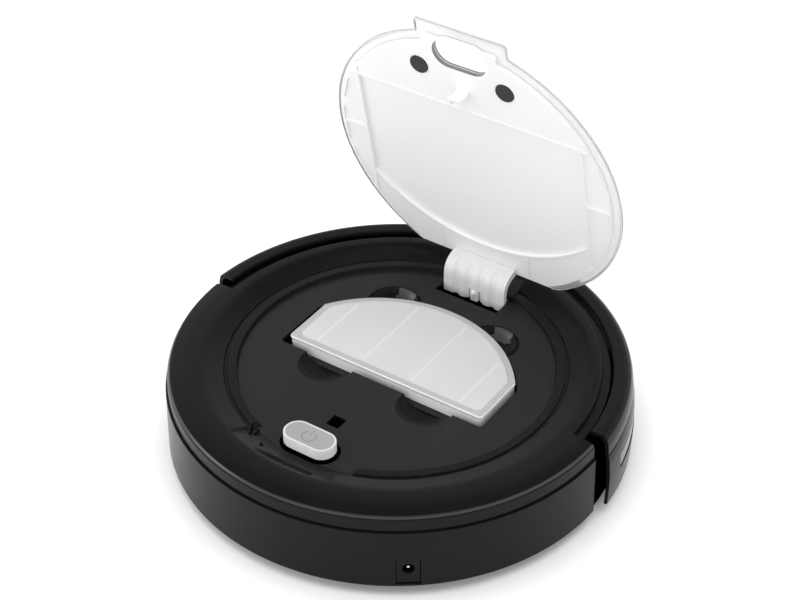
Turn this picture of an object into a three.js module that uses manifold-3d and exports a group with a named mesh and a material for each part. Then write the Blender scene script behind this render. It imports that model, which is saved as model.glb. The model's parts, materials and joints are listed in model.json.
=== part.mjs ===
// Robot vacuum cleaner with its top lid open. Millimetres, +Z up, +Y is the bumper side.
// The origin is on the floor below the centre of the round body.
import * as THREE from 'three';
import { mergeVertices } from 'three/addons/utils/BufferGeometryUtils.js';
import Module from 'manifold-3d';

const wasm = await Module();
wasm.setup();

// ---- Driving dimensions -------------------------------------------------------------
const BODY_R = 150.5; // top cover
const FLOOR_CLEARANCE = 8;
const PLATE = 2.4; // bottom plate thickness
const WALL = 2.5;
const PARTING_Z = 52.2; // joint between the base and the top cover
const DECK_Z = 57.7; // flat deck under the lid
const DECK_T = 2.5;
const BASE_TOP_R = 151.9; // the base's wall leans out towards the floor
const BASE_R = 152.9;
const FRONT_R = 140.5; // body wall behind the bumper
const GAP = 0.3;

const LID_R = 109.3;
const LID_CY = -1; // centre of the closed lid
const LID_Z0 = 61.9; // underside of the clear panel when closed
const LID_Z1 = 63.7;
const LID_PANEL_Z0 = 58.9;
const LID_PANEL_R = 103.5;
const LID_OPEN_DEG = 77.7;
const PIVOT_Y = 109;
const PIVOT_Z = 54;

const BUTTON_Y = -96;
const BUTTON_TOP = 66.5;

const BOX_HALF = 76; // dust box rim half width
const BOX_ARC_R = 91;
const BOX_ARC_Y = -25;
const BOX_FRONT_Y = -16;
const BOX_TOP = 60;
const BOX_BOTTOM = 14;

const WHEEL_R = 27;
const WHEEL_X0 = 104.5;
const WHEEL_X1 = 120;
const ARM_PIVOT_Y = 46;
const ARM_PIVOT_Z = 34;

const CASTER_Y = 112;
const CASTER_TRAIL = 6;
const CASTER_WHEEL_R = 11;

const BRUSH_X = 70;
const BRUSH_Y = 72;

const BUMPER_START = 3; // degrees from +X
const BODY_END = 0.7; // degrees that the rear half stops short of the X axis
const BUMPER_Z0 = 8.6;
const WINDOW_Z0 = 26;
const WINDOW_Z1 = 38.5;
const WINDOW_R = 157.3;
const WINDOW_FROM = 9.5; // degrees from +X
const JACK_DEG = -53.1;
const JACK_Z = 22.5;
const JACK_FACE = 151.6; // distance of the socket's flat face from the axis

const BIG = 60; // segments round the body
const MID = 24;
const SMALL = 12;

// ---- Geometry helpers ---------------------------------------------------------------
const rad = THREE.MathUtils.degToRad;
const v2 = (x, y) => new THREE.Vector2(x, y);

// Turns a closed three.js geometry into a solid that can be joined and cut.
function solid(geometry) {
  const bare = geometry.index ? geometry.toNonIndexed() : geometry.clone();
  bare.deleteAttribute('normal');
  bare.deleteAttribute('uv');
  const merged = mergeVertices(bare, 1e-4);
  const triVerts = new Uint32Array(merged.index.array);
  const make = (tris) => new wasm.Manifold(new wasm.Mesh({
    numProp: 3,
    vertProperties: new Float32Array(merged.attributes.position.array),
    triVerts: tris,
  }));
  const first = make(triVerts);
  if (first.volume() > 0) return first;
  for (let i = 0; i < triVerts.length; i += 3) {
    [triVerts[i + 1], triVerts[i + 2]] = [triVerts[i + 2], triVerts[i + 1]];
  }
  return make(triVerts);
}

const join = (first, ...rest) => rest.reduce((a, b) => a.add(b), first);
const cut = (first, ...rest) => rest.reduce((a, b) => a.subtract(b), first);

function arc(cx, cy, r, from, to, steps) {
  const points = [];
  for (let i = 0; i <= steps; i += 1) {
    const a = rad(from + ((to - from) * i) / steps);
    points.push(v2(cx + r * Math.cos(a), cy + r * Math.sin(a)));
  }
  return points;
}

function circle(cx, cy, r, steps) {
  return arc(cx, cy, r, 0, 360 - 360 / steps, steps - 1);
}

function rectangle(x0, y0, x1, y1) {
  return [v2(x0, y0), v2(x1, y0), v2(x1, y1), v2(x0, y1)];
}

function roundedRectangle(x0, y0, x1, y1, r, steps = 4) {
  return [
    ...arc(x0 + r, y0 + r, r, 180, 270, steps),
    ...arc(x1 - r, y0 + r, r, 270, 360, steps),
    ...arc(x1 - r, y1 - r, r, 0, 90, steps),
    ...arc(x0 + r, y1 - r, r, 90, 180, steps),
  ];
}

// A stadium lying along X.
function pill(cx, cy, length, width, steps = 10) {
  const r = width / 2;
  const h = length / 2 - r;
  return [...arc(cx + h, cy, r, -90, 90, steps), ...arc(cx - h, cy, r, 90, 270, steps)];
}

function extrusion(points, depth) {
  const shape = new THREE.Shape(points);
  return new THREE.ExtrudeGeometry(shape, { depth, bevelEnabled: false });
}

// Outline in X and Y, extruded from z0 to z1.
function prismZ(points, z0, z1) {
  return solid(extrusion(points, z1 - z0).translate(0, 0, z0));
}

// Outline in Y and Z, extruded from x0 to x1.
function prismX(points, x0, x1) {
  const basis = new THREE.Matrix4().makeBasis(
    new THREE.Vector3(0, 1, 0),
    new THREE.Vector3(0, 0, 1),
    new THREE.Vector3(1, 0, 0),
  );
  return solid(extrusion(points, x1 - x0).applyMatrix4(basis).translate(x0, 0, 0));
}

// Outline in X and Z, extruded from y0 to y1.
function prismY(points, y0, y1) {
  const basis = new THREE.Matrix4().makeBasis(
    new THREE.Vector3(1, 0, 0),
    new THREE.Vector3(0, 0, 1),
    new THREE.Vector3(0, -1, 0),
  );
  return solid(extrusion(points, y1 - y0).applyMatrix4(basis).translate(0, y1, 0));
}

function box(x0, x1, y0, y1, z0, z1) {
  return prismZ(rectangle(x0, y0, x1, y1), z0, z1);
}

function post(cx, cy, r, z0, z1, steps = SMALL) {
  return prismZ(circle(cx, cy, r, steps), z0, z1);
}

// Profile of [radius, z] points, turned about the Z axis.
function turned(profile, steps = BIG) {
  const points = profile.map(([r, z]) => v2(r, z));
  points.push(points[0].clone());
  return solid(new THREE.LatheGeometry(points, steps).rotateX(Math.PI / 2));
}

// Profile of [radius, x] points, turned about a line along X through y, z.
function turnedX(profile, y, z, steps = MID) {
  const points = profile.map(([r, x]) => v2(r, x));
  points.push(points[0].clone());
  const g = new THREE.LatheGeometry(points, steps).rotateZ(-Math.PI / 2).translate(0, y, z);
  return solid(g);
}

// Sector of the plan between two angles, as a tall wedge.
function wedge(from, to, r = 170) {
  const steps = Math.max(2, Math.ceil((to - from) / 20));
  return prismZ([v2(0, 0), ...arc(0, 0, r, from, to, steps)], -10, 90);
}

function aroundX(part, y, z, degrees) {
  return part.translate([0, -y, -z]).rotate([degrees, 0, 0]).translate([0, y, z]);
}

const mirrorX = (part) => part.mirror([1, 0, 0]);

// A wire coil along Z from z0 to z1.
function coil(r, wire, turns, z0, z1, perTurn = 10) {
  const steps = Math.round(turns * perTurn);
  const points = [];
  for (let i = 0; i <= steps; i += 1) {
    const a = (i / perTurn) * 2 * Math.PI;
    const z = z0 + wire + ((z1 - z0 - 2 * wire) * i) / steps;
    points.push(new THREE.Vector3(r * Math.cos(a), r * Math.sin(a), z));
  }
  const path = new THREE.CatmullRomCurve3(points);
  const section = new THREE.Shape(circle(0, 0, wire, 5));
  return solid(new THREE.ExtrudeGeometry(section, { steps, bevelEnabled: false, extrudePath: path }));
}

// ---- Body shell ---------------------------------------------------------------------
const REAR = [180 + BODY_END, 360 - BODY_END];
const FRONT = [-BODY_END - 1.5, 180 + BODY_END + 1.5];

// Upright webs that close the two ends of the rear half, from the front wall out to r0 and r1.
function endWebs(r0, r1, z0, z1) {
  const ring = turned([[FRONT_R - WALL, z0], [r0 - 1, z0], [r0, z0 + 1], [r1, z1], [FRONT_R - WALL, z1]]);
  const end = ring.intersect(wedge(-BODY_END - 1.5, -BODY_END));
  return join(end, mirrorX(end));
}

// A round pan whose wall runs from radius r0 at the floor to r1 at its top.
function pan(r0, r1, z0, z1) {
  return turned([
    [0, z0], [r0 - 1, z0], [r0, z0 + 1], [r1, z1], [r1 - WALL, z1], [r0 - WALL, z0 + PLATE],
    [0, z0 + PLATE],
  ]);
}

function jackFrame(part) {
  return part.rotate([0, 0, JACK_DEG]);
}

function makeBaseShell() {
  const z0 = FLOOR_CLEARANCE;
  const top = z0 + PLATE;
  let base = join(
    pan(BASE_R, BASE_TOP_R, z0, PARTING_Z).intersect(wedge(...REAR)),
    pan(FRONT_R, FRONT_R, z0, PARTING_Z).intersect(wedge(...FRONT)),
    endWebs(BASE_R, BASE_TOP_R, z0, PARTING_Z),
  );
  // battery frame, caster housing, circuit board posts and drive brackets
  base = join(
    base,
    box(-48, 48, -139.5, -74, z0 + 1, z0 + 4.4),
    post(0, CASTER_Y, 22, z0, 36, MID),
  );
  for (const [x, y] of [[64, -82], [-64, -82], [52, -122], [-52, -122]]) {
    base = base.add(post(x, y, 3, top - 0.5, 43.7, 10));
  }
  for (const x of [39.5, -39.5]) {
    base = base.add(post(x, -104, 3.2, z0 + 4, 18, 12));
  }
  const outer = prismX(rectangle(38, top - 0.5, 54, 43), 101.2, 103.6);
  const inner = prismX(rectangle(31.5, top - 0.5, 60.5, 48), 79.5, 82.5);
  base = join(base, outer, inner, mirrorX(outer), mirrorX(inner));

  const cuts = [
    box(-44, 44, -136.3, -77, 0, z0 + 2), // battery cover seat
    box(-34, 34, -134.5, -79.5, 0, 20),
    post(0, CASTER_Y, 20, 0, 29.5, MID),
    post(0, CASTER_Y, 4.35, 0, 40),
    box(-32, 32, 63.5, 82, 0, 20), // suction mouth
    box(-40.3, 40.3, 47.7, 50.3, 0, 20), // lip slot
    jackFrame(box(136.7, 160, -7.7, 7.7, top, 30.1)),
  ];
  for (const x of [39.5, -39.5]) {
    cuts.push(post(x, -104, 1.6, 0, 40, 8));
  }
  for (const side of [1, -1]) {
    const turnSide = (part) => (side > 0 ? part : mirrorX(part));
    cuts.push(
      turnSide(box(85, 122.5, -30, 36, 0, 20)), // wheel and suspension opening
      turnSide(turnedX([[0, 100], [4.35, 100], [4.35, 106], [0, 106]], ARM_PIVOT_Y, ARM_PIVOT_Z, SMALL)),
      turnSide(turnedX([[0, 76], [11.4, 76], [11.4, 90], [0, 90]], ARM_PIVOT_Y, ARM_PIVOT_Z, MID)),
      turnSide(post(BRUSH_X, BRUSH_Y, 4.3, 0, 20)),
      turnSide(prismZ(roundedRectangle(46, 111, 60, 121, 2), 0, 20)), // front cliff sensors
      turnSide(prismZ(roundedRectangle(124.4, 20, 131.2, 34, 2), 0, 20)), // side cliff sensors
      turnSide(post(0, 0, 2, 125, 145, 8).rotate([0, 90, 0]).translate([0, 0, 36]).rotate([0, 0, 50])),
    );
  }
  return cut(base, ...cuts);
}

// Section of the top cover over the rear half, [radius, z].
const COVER_REAR = [
  [0, DECK_Z], [104, DECK_Z], [105.5, 60.8], [111.3, 60.8], [112.4, 59.8], [114.2, 61], [127, 64.8],
  [139, 64.9], [147, 63.9], [BODY_R, 61.4], [BODY_R, PARTING_Z + GAP], [BODY_R - WALL, PARTING_Z + GAP],
  [BODY_R - WALL, 60.6], [127, 62.4], [113.4, 57.4], [105.5, 57.4], [103, DECK_Z - DECK_T],
  [0, DECK_Z - DECK_T],
];
// The front half stops at a step and a ledge that the bumper's cap runs over.
const COVER_FRONT = [
  [0, DECK_Z], [104, DECK_Z], [105.5, 60.8], [111.3, 60.8], [112.4, 59.8], [114.2, 61], [127, 64.8],
  [134, 65], [134.8, 61.2], [FRONT_R, 60.8], [FRONT_R, PARTING_Z + GAP],
  [FRONT_R - WALL, PARTING_Z + GAP], [FRONT_R - WALL, 58.8], [132, 59], [127, 62.4], [113.4, 57.4],
  [105.5, 57.4], [103, DECK_Z - DECK_T], [0, DECK_Z - DECK_T],
];

function boxOutline(half, frontY, arcR, chamfer = 3) {
  const start = (Math.acos(half / arcR) * 180) / Math.PI;
  return [
    v2(-half + chamfer, frontY),
    v2(half - chamfer, frontY),
    v2(half, frontY + chamfer),
    ...arc(0, BOX_ARC_Y, arcR, start, 180 - start, 20),
    v2(-half, frontY + chamfer),
  ];
}

// Finger scoops in front of and behind the dust box, sloping down towards it.
function scoopBlocks(grow) {
  const g = grow;
  const front = [
    v2(-43 - g, 58), v2(-43 - g, 56 - g), v2(-27, 48.4 - g), v2(-21.2, 48.4 - g), v2(-21.2, 58),
  ];
  const back = [v2(73 + g, 58), v2(73 + g, 56 - g), v2(60, 49.4 - g), v2(44, 49.4 - g), v2(44, 58)];
  const parts = [];
  for (const x of [-39, 39]) {
    parts.push(prismX(front, x - 19.5 - g, x + 19.5 + g));
    parts.push(prismX(back, x - 19.5 - g, x + 19.5 + g));
  }
  return parts;
}

function makeTopCover() {
  let cover = join(
    turned(COVER_REAR).intersect(wedge(...REAR)),
    turned(COVER_FRONT).intersect(wedge(...FRONT)),
    endWebs(BODY_R, BODY_R, PARTING_Z + GAP, 61.4),
    // floor and end wall under the tab notch, and under the flat pad behind the hinge
    prismX([v2(-98, 55.2), v2(-116.5, 55.2), v2(-127, 62.3), v2(-112, 61), v2(-98, 57.6)], -39, 39),
    box(-46, 46, 100.5, 118, 59, 60.8),
    box(-38, 38, 104, 131, 59, 62.4),
    box(-81.5, 81.5, BOX_FRONT_Y - 7, BOX_FRONT_Y - 5.4, 45, DECK_Z - 0.5), // wall in front of the box
  );
  const keep = box(-200, 200, -200, 200, 40, DECK_Z);
  cover = join(cover, ...scoopBlocks(1.6).map((b) => b.intersect(keep)));
  const bracket = prismX([v2(104, 49), v2(114, 49), v2(114, 60), v2(104, 60)], 27, 33);
  cover = join(cover, bracket, mirrorX(bracket));
  return cut(
    cover,
    prismX([v2(-95, DECK_Z), v2(-114.8, DECK_Z), v2(-124.4, 66), v2(-95, 66)], -37, 37),
    box(-36, 36, 100.4, 128, 60.8, 70),
    box(-26.9, 26.9, 100, 115, 45, 58.9), // room for the arm's root
    prismX([v2(80, 60.8), v2(80, DECK_Z), v2(100.5, DECK_Z), v2(100.5, 60.8)], -46, 46),
    box(-24.9, 24.9, 83.6, 100.4, 40, 70), // hinge arm slot
    prismZ(boxOutline(BOX_HALF + 3.2, BOX_FRONT_Y - 5.4, BOX_ARC_R + 1.2), 40, 70),
    ...scoopBlocks(0),
    prismZ(roundedRectangle(-4.75, -73, 4.75, -63, 1.5, 3), 40, 70), // latch hole
    prismZ(pill(0, BUTTON_Y, 42, 24), 40, 70),
    turnedX([[0, 20], [2.35, 20], [2.35, 40], [0, 40]], PIVOT_Y, PIVOT_Z, SMALL),
    turnedX([[0, -40], [2.35, -40], [2.35, -20], [0, -20]], PIVOT_Y, PIVOT_Z, SMALL),
  );
}

function makeBatteryCover() {
  const plate = box(-43.7, 43.7, -136, -77.3, FLOOR_CLEARANCE, FLOOR_CLEARANCE + 1.7);
  return cut(plate, ...[39.5, -39.5].map((x) => post(x, -104, 1.7, 0, 20, 8)));
}

function makeBatteryScrew(x) {
  const z0 = FLOOR_CLEARANCE - 1.2;
  const head = post(x, -104, 3, z0, FLOOR_CLEARANCE - 0.1, 12);
  const shank = post(x, -104, 1.25, z0 + 0.5, 17, 8);
  const slot = box(x - 2, x + 2, -104.4, -103.6, z0 - 1, z0 + 0.6);
  return head.add(shank).subtract(slot);
}

function makeBatteryPack() {
  const cells = [-88.9, -107, -125.1].map((y) => prismX(circle(y, 20, 9.1, 16), -33.4, 33.4));
  return join(box(-33, 33, -126, -88, 11.3, 28.7), ...cells);
}

function makeMainBoard() {
  const board = cut(
    prismZ([v2(-70, -76), v2(70, -76), v2(70, -108), v2(56, -129), v2(-56, -129), v2(-70, -108)], 44, 45.6),
    post(0, BUTTON_Y + 12, 2, 40, 50, 8),
  );
  return join(
    board,
    box(-44, -30, -104, -90, 45.4, 47.4), // processor
    box(28, 40, -96, -88, 45.4, 47.2),
    box(46, 60, -92, -84, 45.4, 51),
    box(-62, -50, -92, -84, 45.4, 51),
    box(30, 36, -118, -112, 45.4, 50),
  );
}

function makeButtonSwitch() {
  return box(-6, 6, BUTTON_Y - 6, BUTTON_Y + 6, 45.9, 49.6).add(post(0, BUTTON_Y, 2.5, 49.4, 51));
}

// ---- Power socket -------------------------------------------------------------------
function alongX(cy, cz, r, x0, x1, steps) {
  return prismX(circle(cy, cz, r, steps), x0, x1);
}

function makeDcJack() {
  const block = box(137, JACK_FACE, -7.4, 7.4, 10.7, 29.8);
  const bore = alongX(0, JACK_Z, 3.9, JACK_FACE - 11.4, 160, 20);
  const seat = alongX(0, JACK_Z, 1.3, 136.5, 142, 8);
  return jackFrame(cut(block, bore, seat));
}

function makeDcJackPin() {
  return jackFrame(alongX(0, JACK_Z, 0.95, 137, JACK_FACE - 1.5, 10));
}

// ---- Air path -----------------------------------------------------------------------
const FAN_Z = 31;
const FAN_Y = -53; // rear face of the fan housing

function ductOuter() {
  return [v2(84.2, 10.8), v2(84.2, 27), v2(73, 37.2), v2(54.4, 37.2), v2(54.4, 15.6), v2(61.5, 10.8)];
}

function makeSuctionDuct() {
  const hollow = [
    v2(82, 10), v2(82, 26), v2(72, 35.2), v2(54, 35.2), v2(54, 18), v2(63.5, 12), v2(63.5, 10),
  ];
  return prismX(ductOuter(), -34, 34).subtract(prismX(hollow, -32, 32));
}

function makeMouthLip() {
  return join(box(-40, 40, 48, 50, 3.5, 12), box(-40, 40, 46.2, 51.8, 10.8, 12.4));
}

function makeFanHousing() {
  const r = 18.5;
  const shell = turned([
    [r, 0], [r, 26], [10, 26], [10, 24.4], [r - 1.6, 24.4], [r - 1.6, 1.6], [2.6, 1.6], [2.6, 0],
  ], MID).rotate([-90, 0, 0]).translate([0, FAN_Y, FAN_Z]);
  const spout = box(8, 44, FAN_Y + 2, FAN_Y + 23, 13, 28);
  const way = box(6, 46, FAN_Y + 3.6, FAN_Y + 21.4, 14.6, 26.4);
  const room = alongY(0, FAN_Z, r - 1.6, FAN_Y + 1.6, FAN_Y + 24.4, MID);
  return cut(join(shell, spout), way, room);
}

function alongY(cx, cz, r, y0, y1, steps) {
  return prismY(circle(cx, cz, r, steps), y0, y1);
}

function makeFanMotor() {
  const can = alongY(0, FAN_Z, 11.5, FAN_Y - 23, FAN_Y - 0.4, 20);
  return can.add(alongY(0, FAN_Z, 8, FAN_Y - 25, FAN_Y - 22.5, 12));
}

function makeImpeller() {
  let wheel = join(
    alongY(0, FAN_Z, 15.4, FAN_Y + 2.4, FAN_Y + 4, 24),
    alongY(0, FAN_Z, 4.5, FAN_Y + 3, FAN_Y + 16, 12),
    alongY(0, FAN_Z, 2.2, FAN_Y - 0.1, FAN_Y + 3, 10),
  );
  const blades = 9;
  for (let i = 0; i < blades; i += 1) {
    const blade = box(3.5, 15, -0.6, 0.6, 0, 10).rotate([90, 0, 0]).translate([0, FAN_Y + 13.5, 0]);
    wheel = wheel.add(blade.rotate([0, (i * 360) / blades, 0]).translate([0, 0, FAN_Z]));
  }
  return wheel;
}

// ---- Dust box -----------------------------------------------------------------------
const BOX_NOSE_Y = 53.8; // flat wall with the inlet
const FLAP_Y = 50.4;
const FLAP_Z = 35.6;

function makeDustBox() {
  const half = BOX_HALF - 2.5;
  const arcR = BOX_ARC_R - 2.5;
  const limit = box(-90, 90, -40, BOX_NOSE_Y, 0, 90);
  const tub = prismZ(boxOutline(half, -14, arcR), BOX_BOTTOM, 57).intersect(limit);
  const rim = prismZ(boxOutline(BOX_HALF - 0.4, BOX_FRONT_Y + 0.4, BOX_ARC_R - 0.4), 50, 57);
  const rimRoom = prismZ(boxOutline(BOX_HALF - 2.2, BOX_FRONT_Y + 2.2, BOX_ARC_R - 2.2), 51.8, 60);
  const within = prismZ(boxOutline(half - 1.8, -12.2, arcR - 1.8), BOX_BOTTOM + 1.8, 60)
    .intersect(box(-90, 90, -40, BOX_NOSE_Y - 1.8, 0, 90));
  const hung = join(cut(tub.add(rim), within, rimRoom), ...[-34.8, 31.8].map((x) => (
    box(x, x + 3, 47, BOX_NOSE_Y - 1, 33, 38.5)
  )));
  return cut(
    hung,
    alongX(FLAP_Y, FLAP_Z, 1.6, -40, 40, 10),
    box(-30, 30, BOX_NOSE_Y - 4, BOX_NOSE_Y + 2, 18.4, 34), // inlet
    box(-50, 50, -16, -10, 22, 46), // outlet to the filter
  );
}

function makeDustBoxCover() {
  const top = prismZ(boxOutline(BOX_HALF, BOX_FRONT_Y, BOX_ARC_R), 57.3, BOX_TOP);
  const panel = prismZ(boxOutline(BOX_HALF - 6, BOX_FRONT_Y + 6, BOX_ARC_R - 6, 4), BOX_TOP - 0.5, 65);
  return top.subtract(panel);
}

function makeFilterFrame() {
  return box(-58, 58, -20.4, -14.3, 18, 49.5).subtract(box(-52, 52, -22, -10, 23, 45));
}

function makeHepaFilter() {
  const points = [];
  const pleats = 20;
  for (let i = 0; i <= pleats; i += 1) {
    points.push(v2(-51.7 + (103.4 * i) / pleats, i % 2 ? -15.4 : -17));
  }
  for (let i = pleats; i >= 0; i -= 1) {
    points.push(v2(-51.7 + (103.4 * i) / pleats, i % 2 ? -17.6 : -19.2));
  }
  return prismZ(points, 23.3, 44.7);
}

function makeInletFlap() {
  return join(
    box(-31.5, 31.5, FLAP_Y - 0.7, FLAP_Y + 0.7, 17.2, FLAP_Z),
    alongX(FLAP_Y, FLAP_Z, 1.3, -33, 33, 10),
  );
}

// ---- Lid ----------------------------------------------------------------------------
// The lid is drawn closed and then turned about its hinge to stand open.
const openLid = (part) => aroundX(part, PIVOT_Y, PIVOT_Z, -LID_OPEN_DEG);
const lidY = (v) => LID_CY - v;

function lidOutline(r, chord, tabHalf, tabEnd, steps) {
  const c = (Math.asin(chord / r) * 180) / Math.PI;
  const flare = tabHalf + 3.6;
  const t = (Math.acos(flare / r) * 180) / Math.PI;
  const y = lidY(tabEnd);
  const shoulder = LID_CY - r * Math.sin(rad(t));
  return [
    ...arc(0, LID_CY, r, -t, c - 3, steps),
    v2((r * Math.cos(rad(c))) - 3, LID_CY + chord),
    v2(-(r * Math.cos(rad(c))) + 3, LID_CY + chord),
    ...arc(0, LID_CY, r, 183 - c, 180 + t, steps),
    v2(-tabHalf - 0.9, shoulder - 1.6),
    v2(-tabHalf, shoulder - 4),
    ...arc(-tabHalf + 3, y + 3, 3, 180, 270, 3),
    ...arc(tabHalf - 3, y + 3, 3, 270, 360, 3),
    v2(tabHalf, shoulder - 4),
    v2(tabHalf + 0.9, shoulder - 1.6),
  ];
}

const HOLE_V = 95.6;

function makeLidWindow() {
  return openLid(prismZ(lidOutline(LID_R, 94.5, 34, 114.6, 22), LID_Z0, LID_Z1)
    .subtract(prismZ(pill(0, lidY(HOLE_V), 40, 22), 50, 70)));
}

function lidRib(x0, x1, va, vb) {
  return box(x0, x1, lidY(vb), lidY(va), 58.2, LID_PANEL_Z0 + 0.3);
}

function makeLidPanel() {
  const z0 = LID_PANEL_Z0;
  const z1 = LID_Z0 - GAP;
  const plate = prismZ(lidOutline(LID_PANEL_R, 90, 27.5, 105.6, 20), z0, z1);
  const ringOfArc = prismZ([
    ...arc(0, lidY(44), 116.7, 45, 135, 12),
    ...arc(0, lidY(44), 115.3, 135, 45, 12),
  ], 58.2, z0 + 0.3);
  const hook = join(
    box(-3.4, 3.4, -69.6, -66.4, 47.4, z0 + 0.3),
    box(-3.4, 3.4, -71.6, -69, 47.4, 50.2),
  );
  const details = join(
    lidRib(-88.5, 88.5, 51, 52.6),
    lidRib(83.2, 84.8, -56, 58),
    lidRib(-84.8, -83.2, -56, 58),
    lidRib(84, 102, 1.4, 2.8),
    lidRib(-102, -84, 1.4, 2.8),
    lidRib(34.3, 35.7, -89, -66),
    lidRib(-35.7, -34.3, -89, -66),
    ringOfArc,
    hook,
  );
  const recess = prismZ([
    v2(-83.2, lidY(51)),
    v2(83.2, lidY(51)),
    ...arc(0, lidY(44), 115.3, 44, 136, 12),
  ], 50, 60.5);
  return openLid(cut(
    plate.subtract(recess).add(details),
    prismZ(pill(0, lidY(HOLE_V), 40, 22), 50, 70),
    ...[31.83, -31.83].map((x) => post(x, lidY(78.9), 6.9, 50, z0 + 1, 20)),
  ));
}

function makeLidPad(side) {
  return openLid(post(side * 31.83, lidY(78.9), 6.6, 58, LID_PANEL_Z0 + 0.7, 20));
}

// Side view of the curved hinge arm with the lid open, [y, z].
const ARM_PROFILE = [
  [94.2, 51], [94.2, 67.5], [94.9, 70.8], [97, 74], [100.6, 77], [108.1, 79.4],
  [109.35, 73.6], [104, 72.2], [101, 70], [99.8, 66.6], [99.8, 59],
  [101, 57.2], [104, 57.6], [105.6, 57.2], [105.6, 50.8], [101, 50.6],
];

function makeLidArm() {
  const profile = ARM_PROFILE.map(([y, z]) => v2(y, z));
  const gooseneck = prismX(profile, -24.4, 24.4);
  const boss = turnedX([[0, -20], [4.4, -20], [4.4, 20], [0, 20]], PIVOT_Y, PIVOT_Z, 20);
  const web = prismX(rectangle(104, 50.6, PIVOT_Y, 57.4), -20, 20);
  const bore = turnedX([[0, -40], [2.35, -40], [2.35, 40], [0, 40]], PIVOT_Y, PIVOT_Z, SMALL);
  const grooves = [-15, -5, 5, 15].map((x) => box(x - 0.6, x + 0.6, 93, 94.9, 58.5, 71));
  const clearEnds = [box(20, 30, 102.6, 120, 40, 60), box(-30, -20, 102.6, 120, 40, 60)];
  return cut(join(gooseneck, boss, web), bore, ...grooves, ...clearEnds);
}

function makeHingePin() {
  return turnedX([[0, -34], [2, -34], [2, 34], [0, 34]], PIVOT_Y, PIVOT_Z, SMALL);
}

function makeLidSpring() {
  return coil(3.3, 0.5, 3, 20.4, 26.2).rotate([0, 90, 0]).translate([0, PIVOT_Y, PIVOT_Z]);
}

// ---- Power button -------------------------------------------------------------------
function makePowerButton() {
  const stem = prismZ(pill(0, BUTTON_Y, 37, 19), 52.8, BUTTON_TOP - 0.5);
  const flange = prismZ(pill(0, BUTTON_Y, 45, 27), 52.8, 54.8);
  const seat = prismZ(pill(0, BUTTON_Y, 34.6, 16.6), BUTTON_TOP - 3, BUTTON_TOP + 3);
  return cut(join(stem, flange), seat);
}

function makeButtonCap() {
  return prismZ(pill(0, BUTTON_Y, 34, 16), BUTTON_TOP - 2.7, BUTTON_TOP);
}

// ---- Bumper -------------------------------------------------------------------------
// Section of the bumper, [radius, z]: a cap over the body's ledge, then a wall that swells out.
const BUMPER_PROFILE = [
  [157.5, BUMPER_Z0], [158, 20], [158, 32], [157.1, 44], [155.9, 51], [155.3, 57.5], [153.8, 62.4],
  [151.6, 64.5], [149, 65.1], [142.4, 64.8], [141.6, 64.2], [141.6, 62.2], [149, 62.2], [151.4, 60.8],
  [152.8, 57], [153.4, 50.5], [154.6, 43.6], [155.5, 32], [155.5, 20], [155, BUMPER_Z0],
];

function makeBumper() {
  const shell = turned(BUMPER_PROFILE).intersect(wedge(BUMPER_START, 180 - BUMPER_START));
  const groove = turned([[155.1, 50], [159, 49], [159, 51]]);
  const inner = WINDOW_R - 0.8;
  const seat = turned([[inner, WINDOW_Z0], [160, WINDOW_Z0], [160, WINDOW_Z1], [inner, WINDOW_Z1]])
    .intersect(wedge(WINDOW_FROM, 180 - WINDOW_FROM));
  return cut(shell, groove, seat);
}

function makeBumperWindow() {
  const [z0, z1] = [WINDOW_Z0 + GAP, WINDOW_Z1 - GAP];
  return turned([[WINDOW_R - 0.7, z0], [WINDOW_R, z0], [WINDOW_R, z1], [WINDOW_R - 0.7, z1]])
    .intersect(wedge(WINDOW_FROM + 0.1, 180 - WINDOW_FROM - 0.1));
}

// A small switch inside the wall whose plunger the bumper presses.
function makeBumperSwitch(side) {
  const angle = side > 0 ? 50 : 130;
  return join(box(127, 135.5, -6, 6, 31, 41), alongX(0, 36, 1.6, 135, 150.8, 8)).rotate([0, 0, angle]);
}

// ---- Drive wheels -------------------------------------------------------------------
function makeGearbox() {
  const pivot = [ARM_PIVOT_Y, ARM_PIVOT_Z];
  const slope = Math.atan2(ARM_PIVOT_Z - WHEEL_R, ARM_PIVOT_Y);
  const degrees = (slope * 180) / Math.PI;
  const outline = [
    ...arc(...pivot, 13, -90 + degrees, 90 + degrees, 10),
    ...arc(0, WHEEL_R, 14, 90 + degrees, 270 + degrees, 12),
  ];
  const housing = prismX(outline, 88, 99.5);
  const trunnion = alongX(...pivot, 4, 99, 104.6, 12);
  const bore = alongX(0, WHEEL_R, 3.35, 91, 101, 12);
  return cut(housing.add(trunnion), bore);
}

function makeDriveMotor() {
  return join(
    alongX(ARM_PIVOT_Y, ARM_PIVOT_Z, 11, 71, 87.7, 24),
    alongX(ARM_PIVOT_Y, ARM_PIVOT_Z, 4, 69, 72, 12),
  );
}

function makeWheelHub() {
  const disc = turnedX([
    [0, WHEEL_X0 + 1], [22.6, WHEEL_X0 + 1], [22.6, WHEEL_X1 - 1], [19.5, WHEEL_X1 - 1],
    [18.5, WHEEL_X1 - 4], [8, WHEEL_X1 - 4], [7, WHEEL_X1 - 1.5], [0, WHEEL_X1 - 1.5],
  ], 0, WHEEL_R, MID);
  const axle = alongX(0, WHEEL_R, 3, 91.5, WHEEL_X0 + 2, 12);
  let hub = disc.add(axle);
  for (let i = 0; i < 6; i += 1) {
    const rib = box(WHEEL_X1 - 4.5, WHEEL_X1 - 2, 7, 19, -1, 1).rotate([i * 60, 0, 0]);
    hub = hub.add(rib.translate([0, 0, WHEEL_R]));
  }
  return hub;
}

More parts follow.
